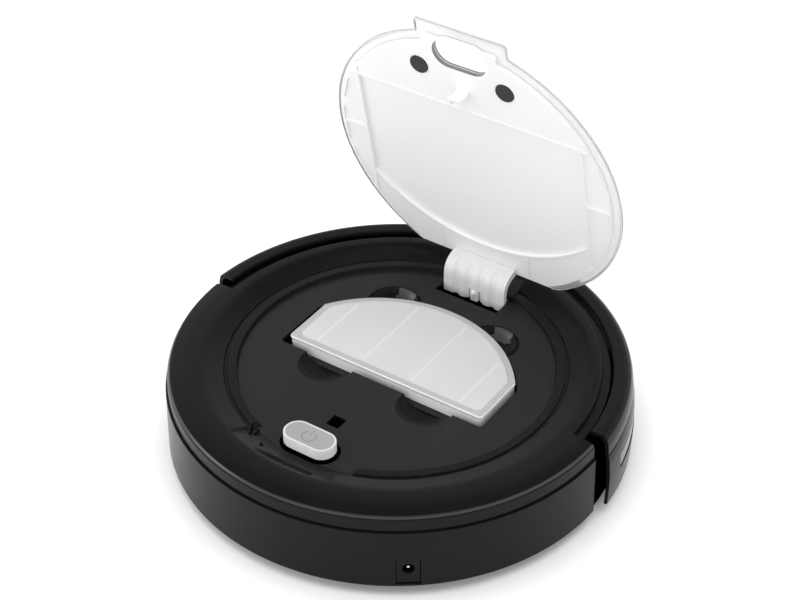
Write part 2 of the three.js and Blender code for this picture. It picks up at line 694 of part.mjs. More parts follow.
function makeTyre() {
  const lugs = 30;
  const points = [];
  for (let i = 0; i < lugs; i += 1) {
    const a = (i / lugs) * 360 - 90;
    const step = 360 / lugs;
    const valley = WHEEL_R - 1.5;
    for (const [da, r] of [[-0.24, WHEEL_R], [0.24, WHEEL_R], [0.34, valley], [0.66, valley]]) {
      const t = rad(a + da * step);
      points.push(v2(r * Math.cos(t), WHEEL_R + r * Math.sin(t)));
    }
  }
  const inner = turnedX([[0, 90], [22.9, 90], [22.9, 130], [0, 130]], 0, WHEEL_R, MID);
  return prismX(points, WHEEL_X0, WHEEL_X1).subtract(inner);
}

function makeSuspensionSpring() {
  return coil(4, 0.6, 4, 41.6, 54.9, 8).translate([93.7, 3, 0]);
}

// ---- Caster -------------------------------------------------------------------------
const CASTER_WHEEL_Y = CASTER_Y - CASTER_TRAIL;

function makeCasterFork() {
  const leg = prismX([
    v2(CASTER_Y + 9, 26), v2(CASTER_WHEEL_Y - 7, 26), v2(CASTER_WHEEL_Y - 4, 8.5),
    v2(CASTER_WHEEL_Y, 7), v2(CASTER_WHEEL_Y + 4, 8.5),
  ], 7.6, 10);
  return cut(
    join(
      post(0, CASTER_Y, 19, 23.6, 27.6, 24),
      post(0, CASTER_Y, 4, 27, 35, SMALL),
      leg,
      mirrorX(leg),
    ),
    alongX(CASTER_WHEEL_Y, CASTER_WHEEL_R, 1.8, -20, 20, 12),
  );
}

function makeCasterWheel() {
  const r = CASTER_WHEEL_R;
  return turnedX([
    [1.8, -7], [9, -7], [r, -4.5], [r, 4.5], [9, 7], [1.8, 7],
  ], CASTER_WHEEL_Y, r, 28);
}

function makeCasterAxle() {
  return alongX(CASTER_WHEEL_Y, CASTER_WHEEL_R, 1.5, -10.4, 10.4, 12);
}

// ---- Side brushes and sensors -------------------------------------------------------
function makeBrushMotor() {
  return join(
    post(BRUSH_X, BRUSH_Y, 11, 10.8, 34, 20),
    post(BRUSH_X, BRUSH_Y, 2, 6.2, 12, 10),
    post(BRUSH_X, BRUSH_Y, 7, 33, 37, SMALL),
  );
}

function makeSideBrush() {
  let hub = post(BRUSH_X, BRUSH_Y, 8.5, 3.3, 7.6, 20);
  for (let i = 0; i < 3; i += 1) {
    const arm = prismZ([v2(5, -3), v2(21, -1.8), v2(21, 1.8), v2(5, 3)], 3.3, 5.8);
    hub = hub.add(arm.rotate([0, 0, 90 + i * 120]).translate([BRUSH_X, BRUSH_Y, 0]));
  }
  return hub.subtract(post(BRUSH_X, BRUSH_Y, 2.4, 5.4, 10, 10));
}

function makeBristles() {
  let star = post(0, 0, 6, 1.4, 3, 12);
  for (let i = 0; i < 3; i += 1) {
    const tuft = prismZ([
      v2(3, -1.4), v2(20, -1.8), v2(47, -7), v2(48, 0), v2(47, 7), v2(20, 1.8), v2(3, 1.4),
    ], 1.4, 3);
    star = star.add(tuft.rotate([0, 0, 90 + i * 120]));
  }
  return star.translate([BRUSH_X, BRUSH_Y, 0]);
}

function makeCliffSensorFront() {
  return join(
    prismZ(roundedRectangle(46.3, 111.3, 59.7, 120.7, 1.7), FLOOR_CLEARANCE + 0.4, 11),
    box(45, 61, 110, 122, 10.8, 17),
  );
}

function makeCliffSensorSide() {
  return join(
    prismZ(roundedRectangle(124.7, 20.3, 130.9, 33.7, 1.7), FLOOR_CLEARANCE + 0.4, 11),
    box(123.8, 132, 19, 35, 10.8, 17),
  );
}

// ---- Materials ----------------------------------------------------------------------
const material = (color, roughness, metalness = 0) => new THREE.MeshStandardMaterial({
  color,
  roughness,
  metalness,
});
const BLACK = material(0x232327, 0.42);
const DARK = material(0x2b2b30, 0.55);
const WHITE = material(0xf2f2f2, 0.35);
const GREY = material(0xbfc1c4, 0.4);
const FROST = material(0xd2d4d6, 0.45);
const CLEAR = material(0xe6eaec, 0.12);
const RUBBER = material(0x2e2e30, 0.85);
const METAL = material(0xb8babd, 0.3, 0.9);
const SMOKE = material(0x131316, 0.1);
const BOARD = material(0x1c5a38, 0.5);
const CELLS = material(0x2b5f9e, 0.5);
const FILTER = material(0xe9e6dc, 0.9);

// ---- Assembly -----------------------------------------------------------------------
const robot = new THREE.Group();
robot.name = 'robot_vacuum';

function place(name, part, look) {
  const mesh = part.getMesh();
  const geometry = new THREE.BufferGeometry();
  geometry.setAttribute('position', new THREE.BufferAttribute(mesh.vertProperties, 3));
  geometry.setIndex(new THREE.BufferAttribute(mesh.triVerts, 1));
  const flat = geometry.toNonIndexed();
  flat.computeVertexNormals();
  const node = new THREE.Mesh(flat, look);
  node.name = name;
  robot.add(node);
}

function placePair(name, part, look) {
  place(`${name}_right`, part, look);
  place(`${name}_left`, mirrorX(part), look);
}

place('base_shell', makeBaseShell(), BLACK);
place('top_cover', makeTopCover(), BLACK);
place('battery_cover', makeBatteryCover(), DARK);
place('battery_screw_right', makeBatteryScrew(39.5), METAL);
place('battery_screw_left', makeBatteryScrew(-39.5), METAL);
place('battery_pack', makeBatteryPack(), CELLS);
place('main_board', makeMainBoard(), BOARD);
place('button_switch', makeButtonSwitch(), DARK);
place('dc_jack', makeDcJack(), DARK);
place('dc_jack_pin', makeDcJackPin(), METAL);
place('suction_duct', makeSuctionDuct(), DARK);
place('mouth_lip', makeMouthLip(), RUBBER);
place('fan_housing', makeFanHousing(), DARK);
place('fan_motor', makeFanMotor(), METAL);
place('fan_impeller', makeImpeller(), GREY);
place('dust_box', makeDustBox(), FROST);
place('dust_box_cover', makeDustBoxCover(), FROST);
place('filter_frame', makeFilterFrame(), DARK);
place('hepa_filter', makeHepaFilter(), FILTER);
place('inlet_flap', makeInletFlap(), RUBBER);
place('lid_window', makeLidWindow(), CLEAR);
place('lid_panel', makeLidPanel(), WHITE);
place('lid_pad_right', makeLidPad(1), RUBBER);
place('lid_pad_left', makeLidPad(-1), RUBBER);
place('lid_arm', makeLidArm(), WHITE);
place('hinge_pin', makeHingePin(), METAL);
place('lid_spring', makeLidSpring(), METAL);
place('power_button', makePowerButton(), WHITE);
place('power_button_cap', makeButtonCap(), GREY);
place('bumper', makeBumper(), BLACK);
place('bumper_window', makeBumperWindow(), SMOKE);
place('bumper_switch_right', makeBumperSwitch(1), DARK);
place('bumper_switch_left', makeBumperSwitch(-1), DARK);
placePair('drive_gearbox', makeGearbox(), DARK);
placePair('drive_motor', makeDriveMotor(), METAL);
placePair('wheel_hub', makeWheelHub(), DARK);
placePair('wheel_tyre', makeTyre(), RUBBER);
placePair('suspension_spring', makeSuspensionSpring(), METAL);
place('caster_fork', makeCasterFork(), DARK);
place('caster_wheel', makeCasterWheel(), GREY);
place('caster_axle', makeCasterAxle(), METAL);
placePair('side_brush_motor', makeBrushMotor(), DARK);
placePair('side_brush', makeSideBrush(), DARK);
placePair('side_brush_bristles', makeBristles(), RUBBER);
placePair('cliff_sensor_front', makeCliffSensorFront(), SMOKE);
placePair('cliff_sensor_side', makeCliffSensorSide(), SMOKE);

export default robot;
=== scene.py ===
"""Looks of the robot vacuum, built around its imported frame. Sizes are in millimetres."""

import json
import math
import random

import bmesh
import bpy
from mathutils import Matrix, Vector


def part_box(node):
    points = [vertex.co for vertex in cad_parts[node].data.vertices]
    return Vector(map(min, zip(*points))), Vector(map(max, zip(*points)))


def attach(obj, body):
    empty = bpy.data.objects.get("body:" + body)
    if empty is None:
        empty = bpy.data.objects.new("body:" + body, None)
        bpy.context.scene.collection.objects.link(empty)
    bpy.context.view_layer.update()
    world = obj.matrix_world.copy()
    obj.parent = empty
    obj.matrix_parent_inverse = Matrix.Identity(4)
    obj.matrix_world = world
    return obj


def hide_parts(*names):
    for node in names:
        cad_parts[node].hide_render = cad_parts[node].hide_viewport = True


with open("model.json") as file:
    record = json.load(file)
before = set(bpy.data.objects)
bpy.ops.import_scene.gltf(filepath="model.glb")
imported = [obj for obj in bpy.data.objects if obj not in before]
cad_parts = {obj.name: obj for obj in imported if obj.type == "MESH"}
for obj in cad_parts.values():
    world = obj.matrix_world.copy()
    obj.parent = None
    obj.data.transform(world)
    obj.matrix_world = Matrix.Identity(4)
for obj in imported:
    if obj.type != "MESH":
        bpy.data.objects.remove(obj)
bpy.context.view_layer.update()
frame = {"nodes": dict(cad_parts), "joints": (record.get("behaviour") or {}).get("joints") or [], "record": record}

MM = 0.001
JOINTS = {j["name"]: j for j in frame["joints"]}
SLOT_OF = {s["node"]: s["material_slot"] for s in frame["record"]["subparts"]}


def node_box(node):
    """A CAD node's lowest and highest corners, in millimetres."""
    low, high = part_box(node)
    return low / MM, high / MM


# ---- Driving dimensions, taken from the frame ---------------------------------------
base_low, base_high = node_box("base_shell")
BASE_R = base_high.x  # foot of the side wall, which leans in towards BASE_TOP_R
BASE_TOP_R = BASE_R - 1.0
FLOOR_Z = base_low.z
PARTING_Z = base_high.z
FRONT_R = base_high.y
PLATE = 2.4
WALL = 2.5
SEAM = 0.4
cover_low, cover_high = node_box("top_cover")
BODY_R = cover_high.x
RING_TOP = cover_high.z
bumper_low, bumper_high = node_box("bumper")
BUMPER_R = bumper_high.y
box_cover_low, box_cover_high = node_box("dust_box_cover")
BOX_HALF = box_cover_high.x
BOX_FRONT_Y = box_cover_low.y
BOX_BACK_Y = box_cover_high.y
BOX_TOP = box_cover_high.z
BOX_ARC_R = 91.0
BOX_ARC_Y = BOX_BACK_Y - BOX_ARC_R
button_low, button_high = node_box("power_button_cap")
BUTTON_Y = (button_low.y + button_high.y) / 2
BUTTON_TOP = button_high.z
DECK_Z = BOX_TOP - 2.3
PIVOT = Vector(JOINTS["lid_hinge"]["pos_m"]) / MM
LID_OPEN_DEG = JOINTS["lid_hinge"]["range_deg"][1]
LID_R = node_box("lid_window")[1].x
LID_CY = -1.0  # centre of the closed lid
LID_Z0 = 61.9  # clear panel's underside when closed
LID_Z1 = 63.7
PANEL_Z0 = 58.9
PANEL_R = node_box("lid_panel")[1].x
HOLE_V = 95.6  # button hole, from the lid's centre towards the tab
HOLE_LENGTH = 40.0
HOLE_WIDTH = 22.0
PAD_X = 31.83
PAD_V = 78.9
WHEEL_R = JOINTS["wheel_roll_right"]["pos_m"][2] / MM
WHEEL_X0, WHEEL_X1 = node_box("wheel_tyre_right")[0].x, node_box("wheel_tyre_right")[1].x
BRUSH = Vector(JOINTS["brush_spin_right"]["pos_m"]) / MM
CASTER = Vector(JOINTS["caster_roll"]["pos_m"]) / MM
CASTER_TURN_Y = JOINTS["caster_turn"]["pos_m"][1] / MM
BUMPER_START = 3.0  # degrees from +X
REAR_END = 0.7  # degrees that the rear half stops short of the X axis
JACK = Vector(frame["record"]["mounts"][0]["pos_m"]) / MM
JACK_DEG = math.degrees(math.atan2(JACK.y, JACK.x))
JACK_FACE = math.hypot(JACK.x, JACK.y)
JACK_Z = 22.5
LIP_IN = 104.2  # raised lip round the deck
LIP_OUT = 110.9
LIP_TOP = 60.9
RING_IN = 113.7  # foot of the sloped ring
BUTTON_LENGTH = 37.0
BUTTON_WIDTH = 19.0
CLEAR = 71.0  # above everything on the cover, for cutters
ROUND = 192  # segments round the body


# ---- Outlines ------------------------------------------------------------------------
def arc(cx, cy, r, start, end, steps):
    """Points on an arc, ends included; angles in degrees."""
    angles = [math.radians(start + (end - start) * i / steps) for i in range(steps + 1)]
    return [(cx + r * math.cos(a), cy + r * math.sin(a)) for a in angles]


def circle(cx, cy, r, steps):
    return arc(cx, cy, r, 0, 360 - 360 / steps, steps - 1)


def pill(cx, cy, length, width, steps=20):
    r = width / 2
    h = length / 2 - r
    return arc(cx + h, cy, r, -90, 90, steps) + arc(cx - h, cy, r, 90, 270, steps)


def rectangle(x0, y0, x1, y1):
    return [(x0, y0), (x1, y0), (x1, y1), (x0, y1)]


def fillet(corners, steps=5):
    """A closed outline from (x, y, radius) corners, with each corner rounded."""
    points = []
    count = len(corners)
    for i, (x, y, r) in enumerate(corners):
        here = Vector((x, y))
        if r == 0:
            points.append((x, y))
            continue
        back = Vector(corners[i - 1][:2]) - here
        ahead = Vector(corners[(i + 1) % count][:2]) - here
        reach = min(r, 0.45 * back.length, 0.45 * ahead.length)
        a, b = here + back.normalized() * reach, here + ahead.normalized() * reach
        for k in range(steps + 1):
            u = k / steps
            p = a * (1 - u) ** 2 + here * 2 * u * (1 - u) + b * u * u
            points.append((p.x, p.y))
    return points


def rounded(x0, y0, x1, y1, r):
    return fillet([(x, y, r) for x, y in rectangle(x0, y0, x1, y1)])


# ---- Meshes --------------------------------------------------------------------------
def mesh_object(name, bm):
    bmesh.ops.remove_doubles(bm, verts=bm.verts, dist=1e-7)
    bmesh.ops.recalc_face_normals(bm, faces=bm.faces)
    mesh = bpy.data.meshes.new(name)
    bm.to_mesh(mesh)
    bm.free()
    obj = bpy.data.objects.new(name, mesh)
    bpy.context.scene.collection.objects.link(obj)
    return obj


def prism(name, outline, z0, z1, axis="Z"):
    """An outline extruded along an axis: (x, y) along Z, (y, z) along X or (x, z) along Y."""
    place = {
        "Z": lambda a, b, c: (a, b, c),
        "X": lambda a, b, c: (c, a, b),
        "Y": lambda a, b, c: (a, c, b),
    }[axis]
    bm = bmesh.new()
    low = [bm.verts.new(Vector(place(a, b, z0)) * MM) for a, b in outline]
    high = [bm.verts.new(Vector(place(a, b, z1)) * MM) for a, b in outline]
    bm.faces.new(low)
    bm.faces.new(high)
    for i in range(len(outline)):
        k = (i + 1) % len(outline)
        bm.faces.new((low[i], low[k], high[k], high[i]))
    return mesh_object(name, bm)


def block(name, x0, x1, y0, y1, z0, z1):
    return prism(name, rectangle(x0, y0, x1, y1), z0, z1)


def ring_mesh(name, stations, closed=True):
    """Joins closed [radius, z] profiles, one for each (angle, profile) station, into one skin."""
    bm = bmesh.new()
    rings = []
    for angle, profile in stations:
        c, s = math.cos(math.radians(angle)), math.sin(math.radians(angle))
        rings.append([bm.verts.new((r * c * MM, r * s * MM, z * MM)) for r, z in profile])
    count = len(rings[0])
    pairs = list(zip(rings, rings[1:] + rings[:1])) if closed else list(zip(rings, rings[1:]))
    for a, b in pairs:
        for i in range(count):
            k = (i + 1) % count
            bm.faces.new((a[i], a[k], b[k], b[i]))
    if not closed:
        bm.faces.new(rings[0])
        bm.faces.new(rings[-1])
    bmesh.ops.remove_doubles(bm, verts=bm.verts, dist=1e-7)
    bmesh.ops.dissolve_degenerate(bm, edges=bm.edges, dist=1e-7)
    loose = [edge for edge in bm.edges if not edge.link_faces]
    bmesh.ops.delete(bm, geom=loose, context="EDGES")
    return mesh_object(name, bm)


def lathe(name, profile, steps=ROUND):
    return ring_mesh(name, [(360 * i / steps, profile) for i in range(steps)])


def sector(name, profile, start, end, steps=ROUND):
    count = max(2, round(steps * (end - start) / 360))
    return ring_mesh(
        name, [(start + (end - start) * i / count, profile) for i in range(count + 1)], closed=False
    )


def turn_to_x(obj, y, z, x=0):
    """Lays a piece turned about Z along X, with its axis through y, z."""
    obj.data.transform(Matrix.Translation(Vector((x, y, z)) * MM) @ Matrix.Rotation(math.pi / 2, 4, "Y"))
    return obj


def ellipsoid(name, centre, radii, steps=48):
    bm = bmesh.new()
    bmesh.ops.create_uvsphere(bm, u_segments=steps, v_segments=steps // 2, radius=MM)
    bm.transform(Matrix.Translation(Vector(centre) * MM) @ Matrix.Diagonal((*radii, 1)))
    return mesh_object(name, bm)


def apply_modifiers(obj):
    bpy.context.view_layer.update()
    graph = bpy.context.evaluated_depsgraph_get()
    mesh = bpy.data.meshes.new_from_object(obj.evaluated_get(graph))
    obj.modifiers.clear()
    obj.data = mesh
    return obj


def boolean(obj, other, operation):
    modifier = obj.modifiers.new("boolean", "BOOLEAN")
    modifier.operation = operation
    modifier.solver = "EXACT"
    modifier.object = other
    apply_modifiers(obj)
    bpy.data.objects.remove(other)
    return obj


def cut(obj, *others):
    for other in others:
        boolean(obj, other, "DIFFERENCE")
    return obj


def join(obj, *others):
    for other in others:
        boolean(obj, other, "UNION")
    return obj


def bevel(obj, width, angle=40, segments=2):
    modifier = obj.modifiers.new("bevel", "BEVEL")
    modifier.width = width * MM
    modifier.segments = segments
    modifier.limit_method = "ANGLE"
    modifier.angle_limit = math.radians(angle)
    modifier.use_clamp_overlap = True
    return apply_modifiers(obj)


def mirrored(obj, name):
    copy = obj.copy()
    copy.data = obj.data.copy()
    copy.name = name
    bpy.context.scene.collection.objects.link(copy)
    copy.data.transform(Matrix.Diagonal((-1, 1, 1, 1)))
    copy.data.flip_normals()
    return copy


def merged(name, objects):
    """One object out of several that lie side by side."""
    bm = bmesh.new()
    for obj in objects:
        bm.from_mesh(obj.data)
        bpy.data.objects.remove(obj)
    return mesh_object(name, bm)


def piece(obj, material, body, slot, *nodes, smooth=35):
    """Shades a finished piece, and hangs it on its body in place of its CAD nodes."""
    mesh = obj.data
    if material is not None:
        mesh.materials.clear()
        mesh.materials.append(material)
    mesh.shade_smooth()
    mesh.set_sharp_from_angle(angle=math.radians(smooth))
    weighted = obj.modifiers.new("weighted", "WEIGHTED_NORMAL")
    weighted.keep_sharp = True
    weighted.weight = 80
    apply_modifiers(obj)
    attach(obj, body)
    if nodes:
        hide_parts(*nodes)
    return obj


def paint(obj, materials, choose):
    """Gives each face the material that choose(face) picks by its place in the list."""
    obj.data.materials.clear()
    for material in materials:
        obj.data.materials.append(material)
    for face in obj.data.polygons:
        face.material_index = choose(face)


# ---- Materials -----------------------------------------------------------------------
def grey(level):
    return (level, level, level)


def new_material(name):
    material = bpy.data.materials.new(name)
    material.use_nodes = True
    nodes = material.node_tree.nodes
    return material, nodes, material.node_tree.links, nodes["Principled BSDF"]


def noise(nodes, links, scale, detail=3.0, stretch=(1, 1, 1)):
    """A noise value in the object's own coordinates."""
    place = nodes.new("ShaderNodeTexCoord")
    mapping = nodes.new("ShaderNodeMapping")
    mapping.inputs["Scale"].default_value = stretch
    texture = nodes.new("ShaderNodeTexNoise")
    texture.inputs["Scale"].default_value = scale
    texture.inputs["Detail"].default_value = detail
    links.new(place.outputs["Object"], mapping.inputs["Vector"])
    links.new(mapping.outputs["Vector"], texture.inputs["Vector"])
    return texture.outputs["Fac"]


def spread(nodes, links, value, low, high):
    """Maps a 0 to 1 value to a range."""
    node = nodes.new("ShaderNodeMapRange")
    node.inputs["From Min"].default_value = 0.3
    node.inputs["From Max"].default_value = 0.7
    node.inputs["To Min"].default_value = low
    node.inputs["To Max"].default_value = high
    links.new(value, node.inputs["Value"])
    return node.outputs["Result"]


def tint(nodes, links, value, dark, light):
    node = nodes.new("ShaderNodeMix")
    node.data_type = "RGBA"
    node.inputs["A"].default_value = (*dark, 1)
    node.inputs["B"].default_value = (*light, 1)
    links.new(value, node.inputs["Factor"])
    return node.outputs["Result"]


def bump(nodes, links, shader, value, distance, strength=1.0):
    node = nodes.new("ShaderNodeBump")
    node.inputs["Strength"].default_value = strength
    node.inputs["Distance"].default_value = distance
    links.new(value, node.inputs["Height"])
    links.new(node.outputs["Normal"], shader.inputs["Normal"])


def moulded(name, dark, light, rough, grain=1600.0, grain_m=0.00002, specular=0.5, **sockets):
    """Moulded plastic or rubber: slow colour and gloss changes under a fine spark-eroded grain."""
    material, nodes, links, shader = new_material(name)
    slow = noise(nodes, links, 14.0)
    links.new(tint(nodes, links, slow, dark, light), shader.inputs["Base Color"])
    links.new(spread(nodes, links, noise(nodes, links, 60.0), *rough), shader.inputs["Roughness"])
    bump(nodes, links, shader, noise(nodes, links, grain, 2.0), grain_m)
    shader.inputs["Specular IOR Level"].default_value = specular
    shader.inputs["Subsurface Radius"].default_value = (1, 1, 1)
    for socket, value in sockets.items():
        shader.inputs[socket.replace("_", " ")].default_value = value
    return material


def brushed(name, dark, light, rough, stretch):
    material, nodes, links, shader = new_material(name)
    lines = noise(nodes, links, 400.0, 4.0, stretch)
    links.new(tint(nodes, links, lines, dark, light), shader.inputs["Base Color"])
    links.new(spread(nodes, links, lines, *rough), shader.inputs["Roughness"])
    bump(nodes, links, shader, lines, 0.00001)
    shader.inputs["Metallic"].default_value = 1.0
    return material


def cloudy(name, dark, light):
    """Milky plastic with faint cloudy patches, a little see-through."""
    return moulded(
        name, dark, light, (0.30, 0.44), 900.0, 0.00001, 0.35,
        Transmission_Weight=0.06, IOR=1.45, Subsurface_Weight=0.2, Subsurface_Scale=0.002,
    )


def circuit_board():
    material, nodes, links, shader = new_material("circuit_board")
    place = nodes.new("ShaderNodeTexCoord")
    tracks = nodes.new("ShaderNodeTexBrick")
    tracks.inputs["Scale"].default_value = 120.0
    tracks.inputs["Color1"].default_value = (0.01, 0.1, 0.04, 1)
    tracks.inputs["Color2"].default_value = (0.015, 0.14, 0.06, 1)
    tracks.inputs["Mortar"].default_value = (0.04, 0.25, 0.1, 1)
    links.new(place.outputs["Object"], tracks.inputs["Vector"])
    links.new(tracks.outputs["Color"], shader.inputs["Base Color"])
    links.new(spread(nodes, links, noise(nodes, links, 80.0), 0.35, 0.5), shader.inputs["Roughness"])
    return material


MATERIALS = {
    "body_black": moulded(
        "satin_black", (0.0050, 0.0050, 0.0053), (0.0066, 0.0066, 0.0070), (0.22, 0.28), specular=0.10,
    ),
    "inner_black": moulded(
        "inner_black", (0.010, 0.010, 0.011), (0.016, 0.016, 0.017), (0.5, 0.62), 1200.0, specular=0.3,
    ),
    "lid_white": moulded(
        "lid_white", grey(0.79), grey(0.83), (0.36, 0.44), 900.0, 0.00001, 0.35,
        Subsurface_Weight=0.1, Subsurface_Scale=0.001,
    ),
    "lid_clear": moulded(
        "clear_plastic", grey(0.87), grey(0.91), (0.08, 0.14), 300.0, 0.000004,
        Transmission_Weight=0.62, IOR=1.42,
    ),
    "button_grey": moulded(
        "button_grey", grey(0.25), grey(0.28), (0.45, 0.52), 1400.0, specular=0.3,
    ),
    "box_frost": cloudy("box_frost", grey(0.46), grey(0.57)),
    "rubber": moulded("rubber", (0.022, 0.022, 0.023), (0.03, 0.03, 0.031), (0.7, 0.85), 700.0, 0.00006),
    "tyre": moulded("tyre", grey(0.014), (0.024, 0.023, 0.022), (0.75, 0.9), 600.0, 0.00008),
    "bristle": moulded("bristle", (0.02, 0.02, 0.022), (0.035, 0.035, 0.038), (0.4, 0.55), 500.0),
    "steel": brushed("steel", (0.62, 0.62, 0.63), (0.80, 0.80, 0.81), (0.18, 0.30), (1, 12, 1)),
    "smoke": moulded("smoke", (0.004, 0.004, 0.005), (0.006, 0.006, 0.007), (0.05, 0.09), 300.0, 0.000003),
    "board": circuit_board(),
    "cells": moulded("cells", (0.02, 0.09, 0.28), (0.03, 0.12, 0.34), (0.25, 0.35), 300.0, 0.00003),
    "filter": moulded("filter", (0.68, 0.66, 0.58), (0.78, 0.76, 0.69), (0.85, 0.95), 1500.0, 0.0001),
}
BAND = cloudy("box_band", grey(0.33), grey(0.42))
BOX_RIB = cloudy("box_rib", grey(0.56), grey(0.64))
# The box's frosted plastic made much lighter: painted light on the box walls, which sit in shade, and a painted
# highlight along the cover rim's sides and edges.
BOX_WALL_PAINTED_LIGHT = cloudy("box_wall_painted_light", grey(0.84), grey(0.90))
# The lid's white made darker for the arm, which faces up and catches more light: painted shade.
ARM_WHITE_PAINTED_SHADE = moulded("arm_white_painted_shade", grey(0.64), grey(0.68), (0.34, 0.42), 900.0, 0.00001, 0.3)
BUTTON_RIM = moulded("button_rim_grey", grey(0.50), grey(0.54), (0.4, 0.5), 900.0)
# Lighter, glossier black for the cover's outer shoulder edge: a painted highlight line.
PAINTED_EDGE_HIGHLIGHT = moulded("painted_edge_highlight", grey(0.016), grey(0.030), (0.12, 0.2), 900.0)
ICON = moulded("icon_grey", grey(0.17), grey(0.21), (0.5, 0.6))
# Grey for the rounded edges of the clear lid panel: painted shade lines.
CLEAR_EDGE_PAINTED_SHADE = moulded("clear_edge_painted_shade", grey(0.20), grey(0.28), (0.25, 0.35))
# Dark grey for the wall of the button hole in the lid: painted shade.
HOLE_WALL_PAINTED_SHADE = moulded("hole_wall_painted_shade", grey(0.12), grey(0.18), (0.35, 0.45))
# Grey for the rounded edges of the white lid panel: painted shade lines.
PANEL_EDGE_PAINTED_SHADE = moulded("panel_edge_painted_shade", grey(0.46), grey(0.54), (0.4, 0.5))
# The cover's black made lighter for the flat deck faces: painted light standing in for the brighter reflection the
# deck catches.
DECK_PAINTED_LIGHTER = moulded(
    "deck_black_painted_lighter", (0.012, 0.012, 0.0122), (0.017, 0.017, 0.0173), (0.22, 0.28), specular=0.10,
)
# Lighter grey for the far walls of the rear scoops: a painted reflection.
PAINTED_SCOOP_REFLECTION = moulded("painted_scoop_reflection", grey(0.03), grey(0.05), (0.3, 0.4), 900.0)
# Near-black and fully matte: painted shade, put in the gaps at the bumper's ends and under the button.
PAINTED_SHADE_BLACK = moulded("painted_shade_black", grey(0.0008), grey(0.0014), (0.9, 1.0), 900.0, 0.0002, 0.0)


def dress_frame():
    """Gives each carried CAD node the material of its slot."""
    for name, obj in frame["nodes"].items():
        obj.data.materials.clear()
        obj.data.materials.append(MATERIALS[SLOT_OF[name]])
        obj.data.shade_smooth()
        obj.data.set_sharp_from_angle(angle=math.radians(32))


# ---- Body ----------------------------------------------------------------------------
def halves(rear, front):
    """Stations for a ring whose rear and front halves have different profiles."""
    steps = ROUND // 2
    front_span = 180 + 2 * REAR_END
    rear_span = 180 - 2 * REAR_END
    return [(-REAR_END + front_span * i / steps, front) for i in range(steps + 1)] + [
        (180 + REAR_END + rear_span * i / steps, rear) for i in range(steps + 1)
    ]


def cover_profiles():
    inner_top = [
        (0, DECK_Z, 0), (LIP_IN, DECK_Z, 0.8), (LIP_IN + 1.1, LIP_TOP, 0.5), (LIP_OUT, LIP_TOP, 0.4),
        (111.4, 59.6, 0.3), (113.0, 59.6, 0.3), (RING_IN, 61.0, 0.5), (127, RING_TOP, 3.5),
    ]
    inner_bottom = [
        (127, 62.2, 0), (113.4, 57.2, 0), (105.5, 57.2, 0), (103, DECK_Z - 2.5, 0), (0, DECK_Z - 2.5, 0),
    ]
    bottom = PARTING_Z + SEAM
    rear = [
        (133.5, RING_TOP + 0.1, 2.0), (141, RING_TOP - 0.1, 4.0), (148.6, 63.7, 1.3),
        (BODY_R - 0.2, 61.6, 1.3), (BODY_R, bottom, 0.4), (BODY_R - WALL, bottom, 0),
        (BODY_R - WALL, 60.2, 0), (134, 62.2, 0),
    ]
    front = [
        (133.5, RING_TOP + 0.1, 0.8), (134.4, RING_TOP - 0.4, 0.4), (134.8, 61.2, 0.5),
        (FRONT_R, 60.8, 0.6), (FRONT_R, bottom, 0.4), (FRONT_R - WALL, bottom, 0),
        (FRONT_R - WALL, 58.8, 0), (132, 59, 0),
    ]
    return fillet(inner_top + rear + inner_bottom), fillet(inner_top + front + inner_bottom)


def box_outline(grow, front, steps=40, corner=3.0):
    """The dust box's D shape, grown sideways, with its straight edge at front."""
    half = BOX_HALF + grow
    r = BOX_ARC_R + min(grow, 1.2)
    start = math.degrees(math.acos(half / r))
    curve = arc(0, BOX_ARC_Y, r, start, 180 - start, steps)
    return fillet([(-half, front, corner), (half, front, corner)] + [(x, y, 0) for x, y in curve], 6)


SCOOP_X = 39.0


def scoops(grow):
    """Smooth finger pits in front of and behind the dust box."""
    pits = []
    for x in (-SCOOP_X, SCOOP_X):
        pits.append(ellipsoid("pit", (x, -25.5, DECK_Z + 2.5), (19.6 + grow, 18.2 + grow, 12 + grow)))
        pits.append(ellipsoid("pit", (x, 55, DECK_Z + 2.5), (19.6 + grow, 18.6 + grow, 12 + grow)))
    return pits


def notch():
    """The hollow behind the button: a soft ramp from the deck to the rim, fading in at the left."""
    low = fillet([
        (88, DECK_Z, 0), (112.5, DECK_Z, 6), (126.6, RING_TOP - 0.5, 2.5), (127.6, RING_TOP + 0.4, 0),
        (127.6, 71, 0), (88, 71, 0),
    ], 8)
    stations = []
    for i in range(77):
        angle = 244.5 + 47.5 * i / 76
        u = min(1.0, max(0.0, (angle - 246.0) / 3.6))
        lift = (1 - u * u * (3 - 2 * u)) * (RING_TOP + 0.7 - DECK_Z)
        stations.append((angle, [(r, z if z > 70 else z + lift) for r, z in low]))
    plan = [(-60, -70), (-60, -135), (34.6, -135), (34.9, -117), (38.9, -104.5), (38.9, -70)]
    return boolean(ring_mesh("ramp", stations, closed=False), prism("plan", plan, 50, 80), "INTERSECT")


# Plan corners of the three small gaps in the lip, at the left end of the notch.
LIP_GAPS = (
    ((-41.6, -99.6), (-37.7, -110.6), (-35.2, -109.8)),
    ((-36.4, -100.4), (-35.6, -108.4), (-30.6, -107.2)),
    ((-27.2, -110.8), (-25.1, -115.5), (-22.2, -114.3)),
)


def cover_face(face):
    """1 for the shoulder's outer edge (painted highlight), 2 for the far ends of the rear scoops (painted
    reflection), 3 for the deck (painted lighter, painted light), else 0.
    """
    centre = face.center / MM
    r = math.hypot(centre.x, centre.y)
    if BODY_R - 2.0 < r < BODY_R - 0.7 and 62.0 < centre.z < 63.9:
        return 1
    in_scoop = abs(abs(centre.x) - SCOOP_X) < 7 and 60 < centre.y < 73
    if in_scoop and centre.z < DECK_Z - 1 and face.normal.y < -0.45:
        return 2
    return 3 if abs(centre.z - DECK_Z) < 0.05 and face.normal.z > 0.99 else 0


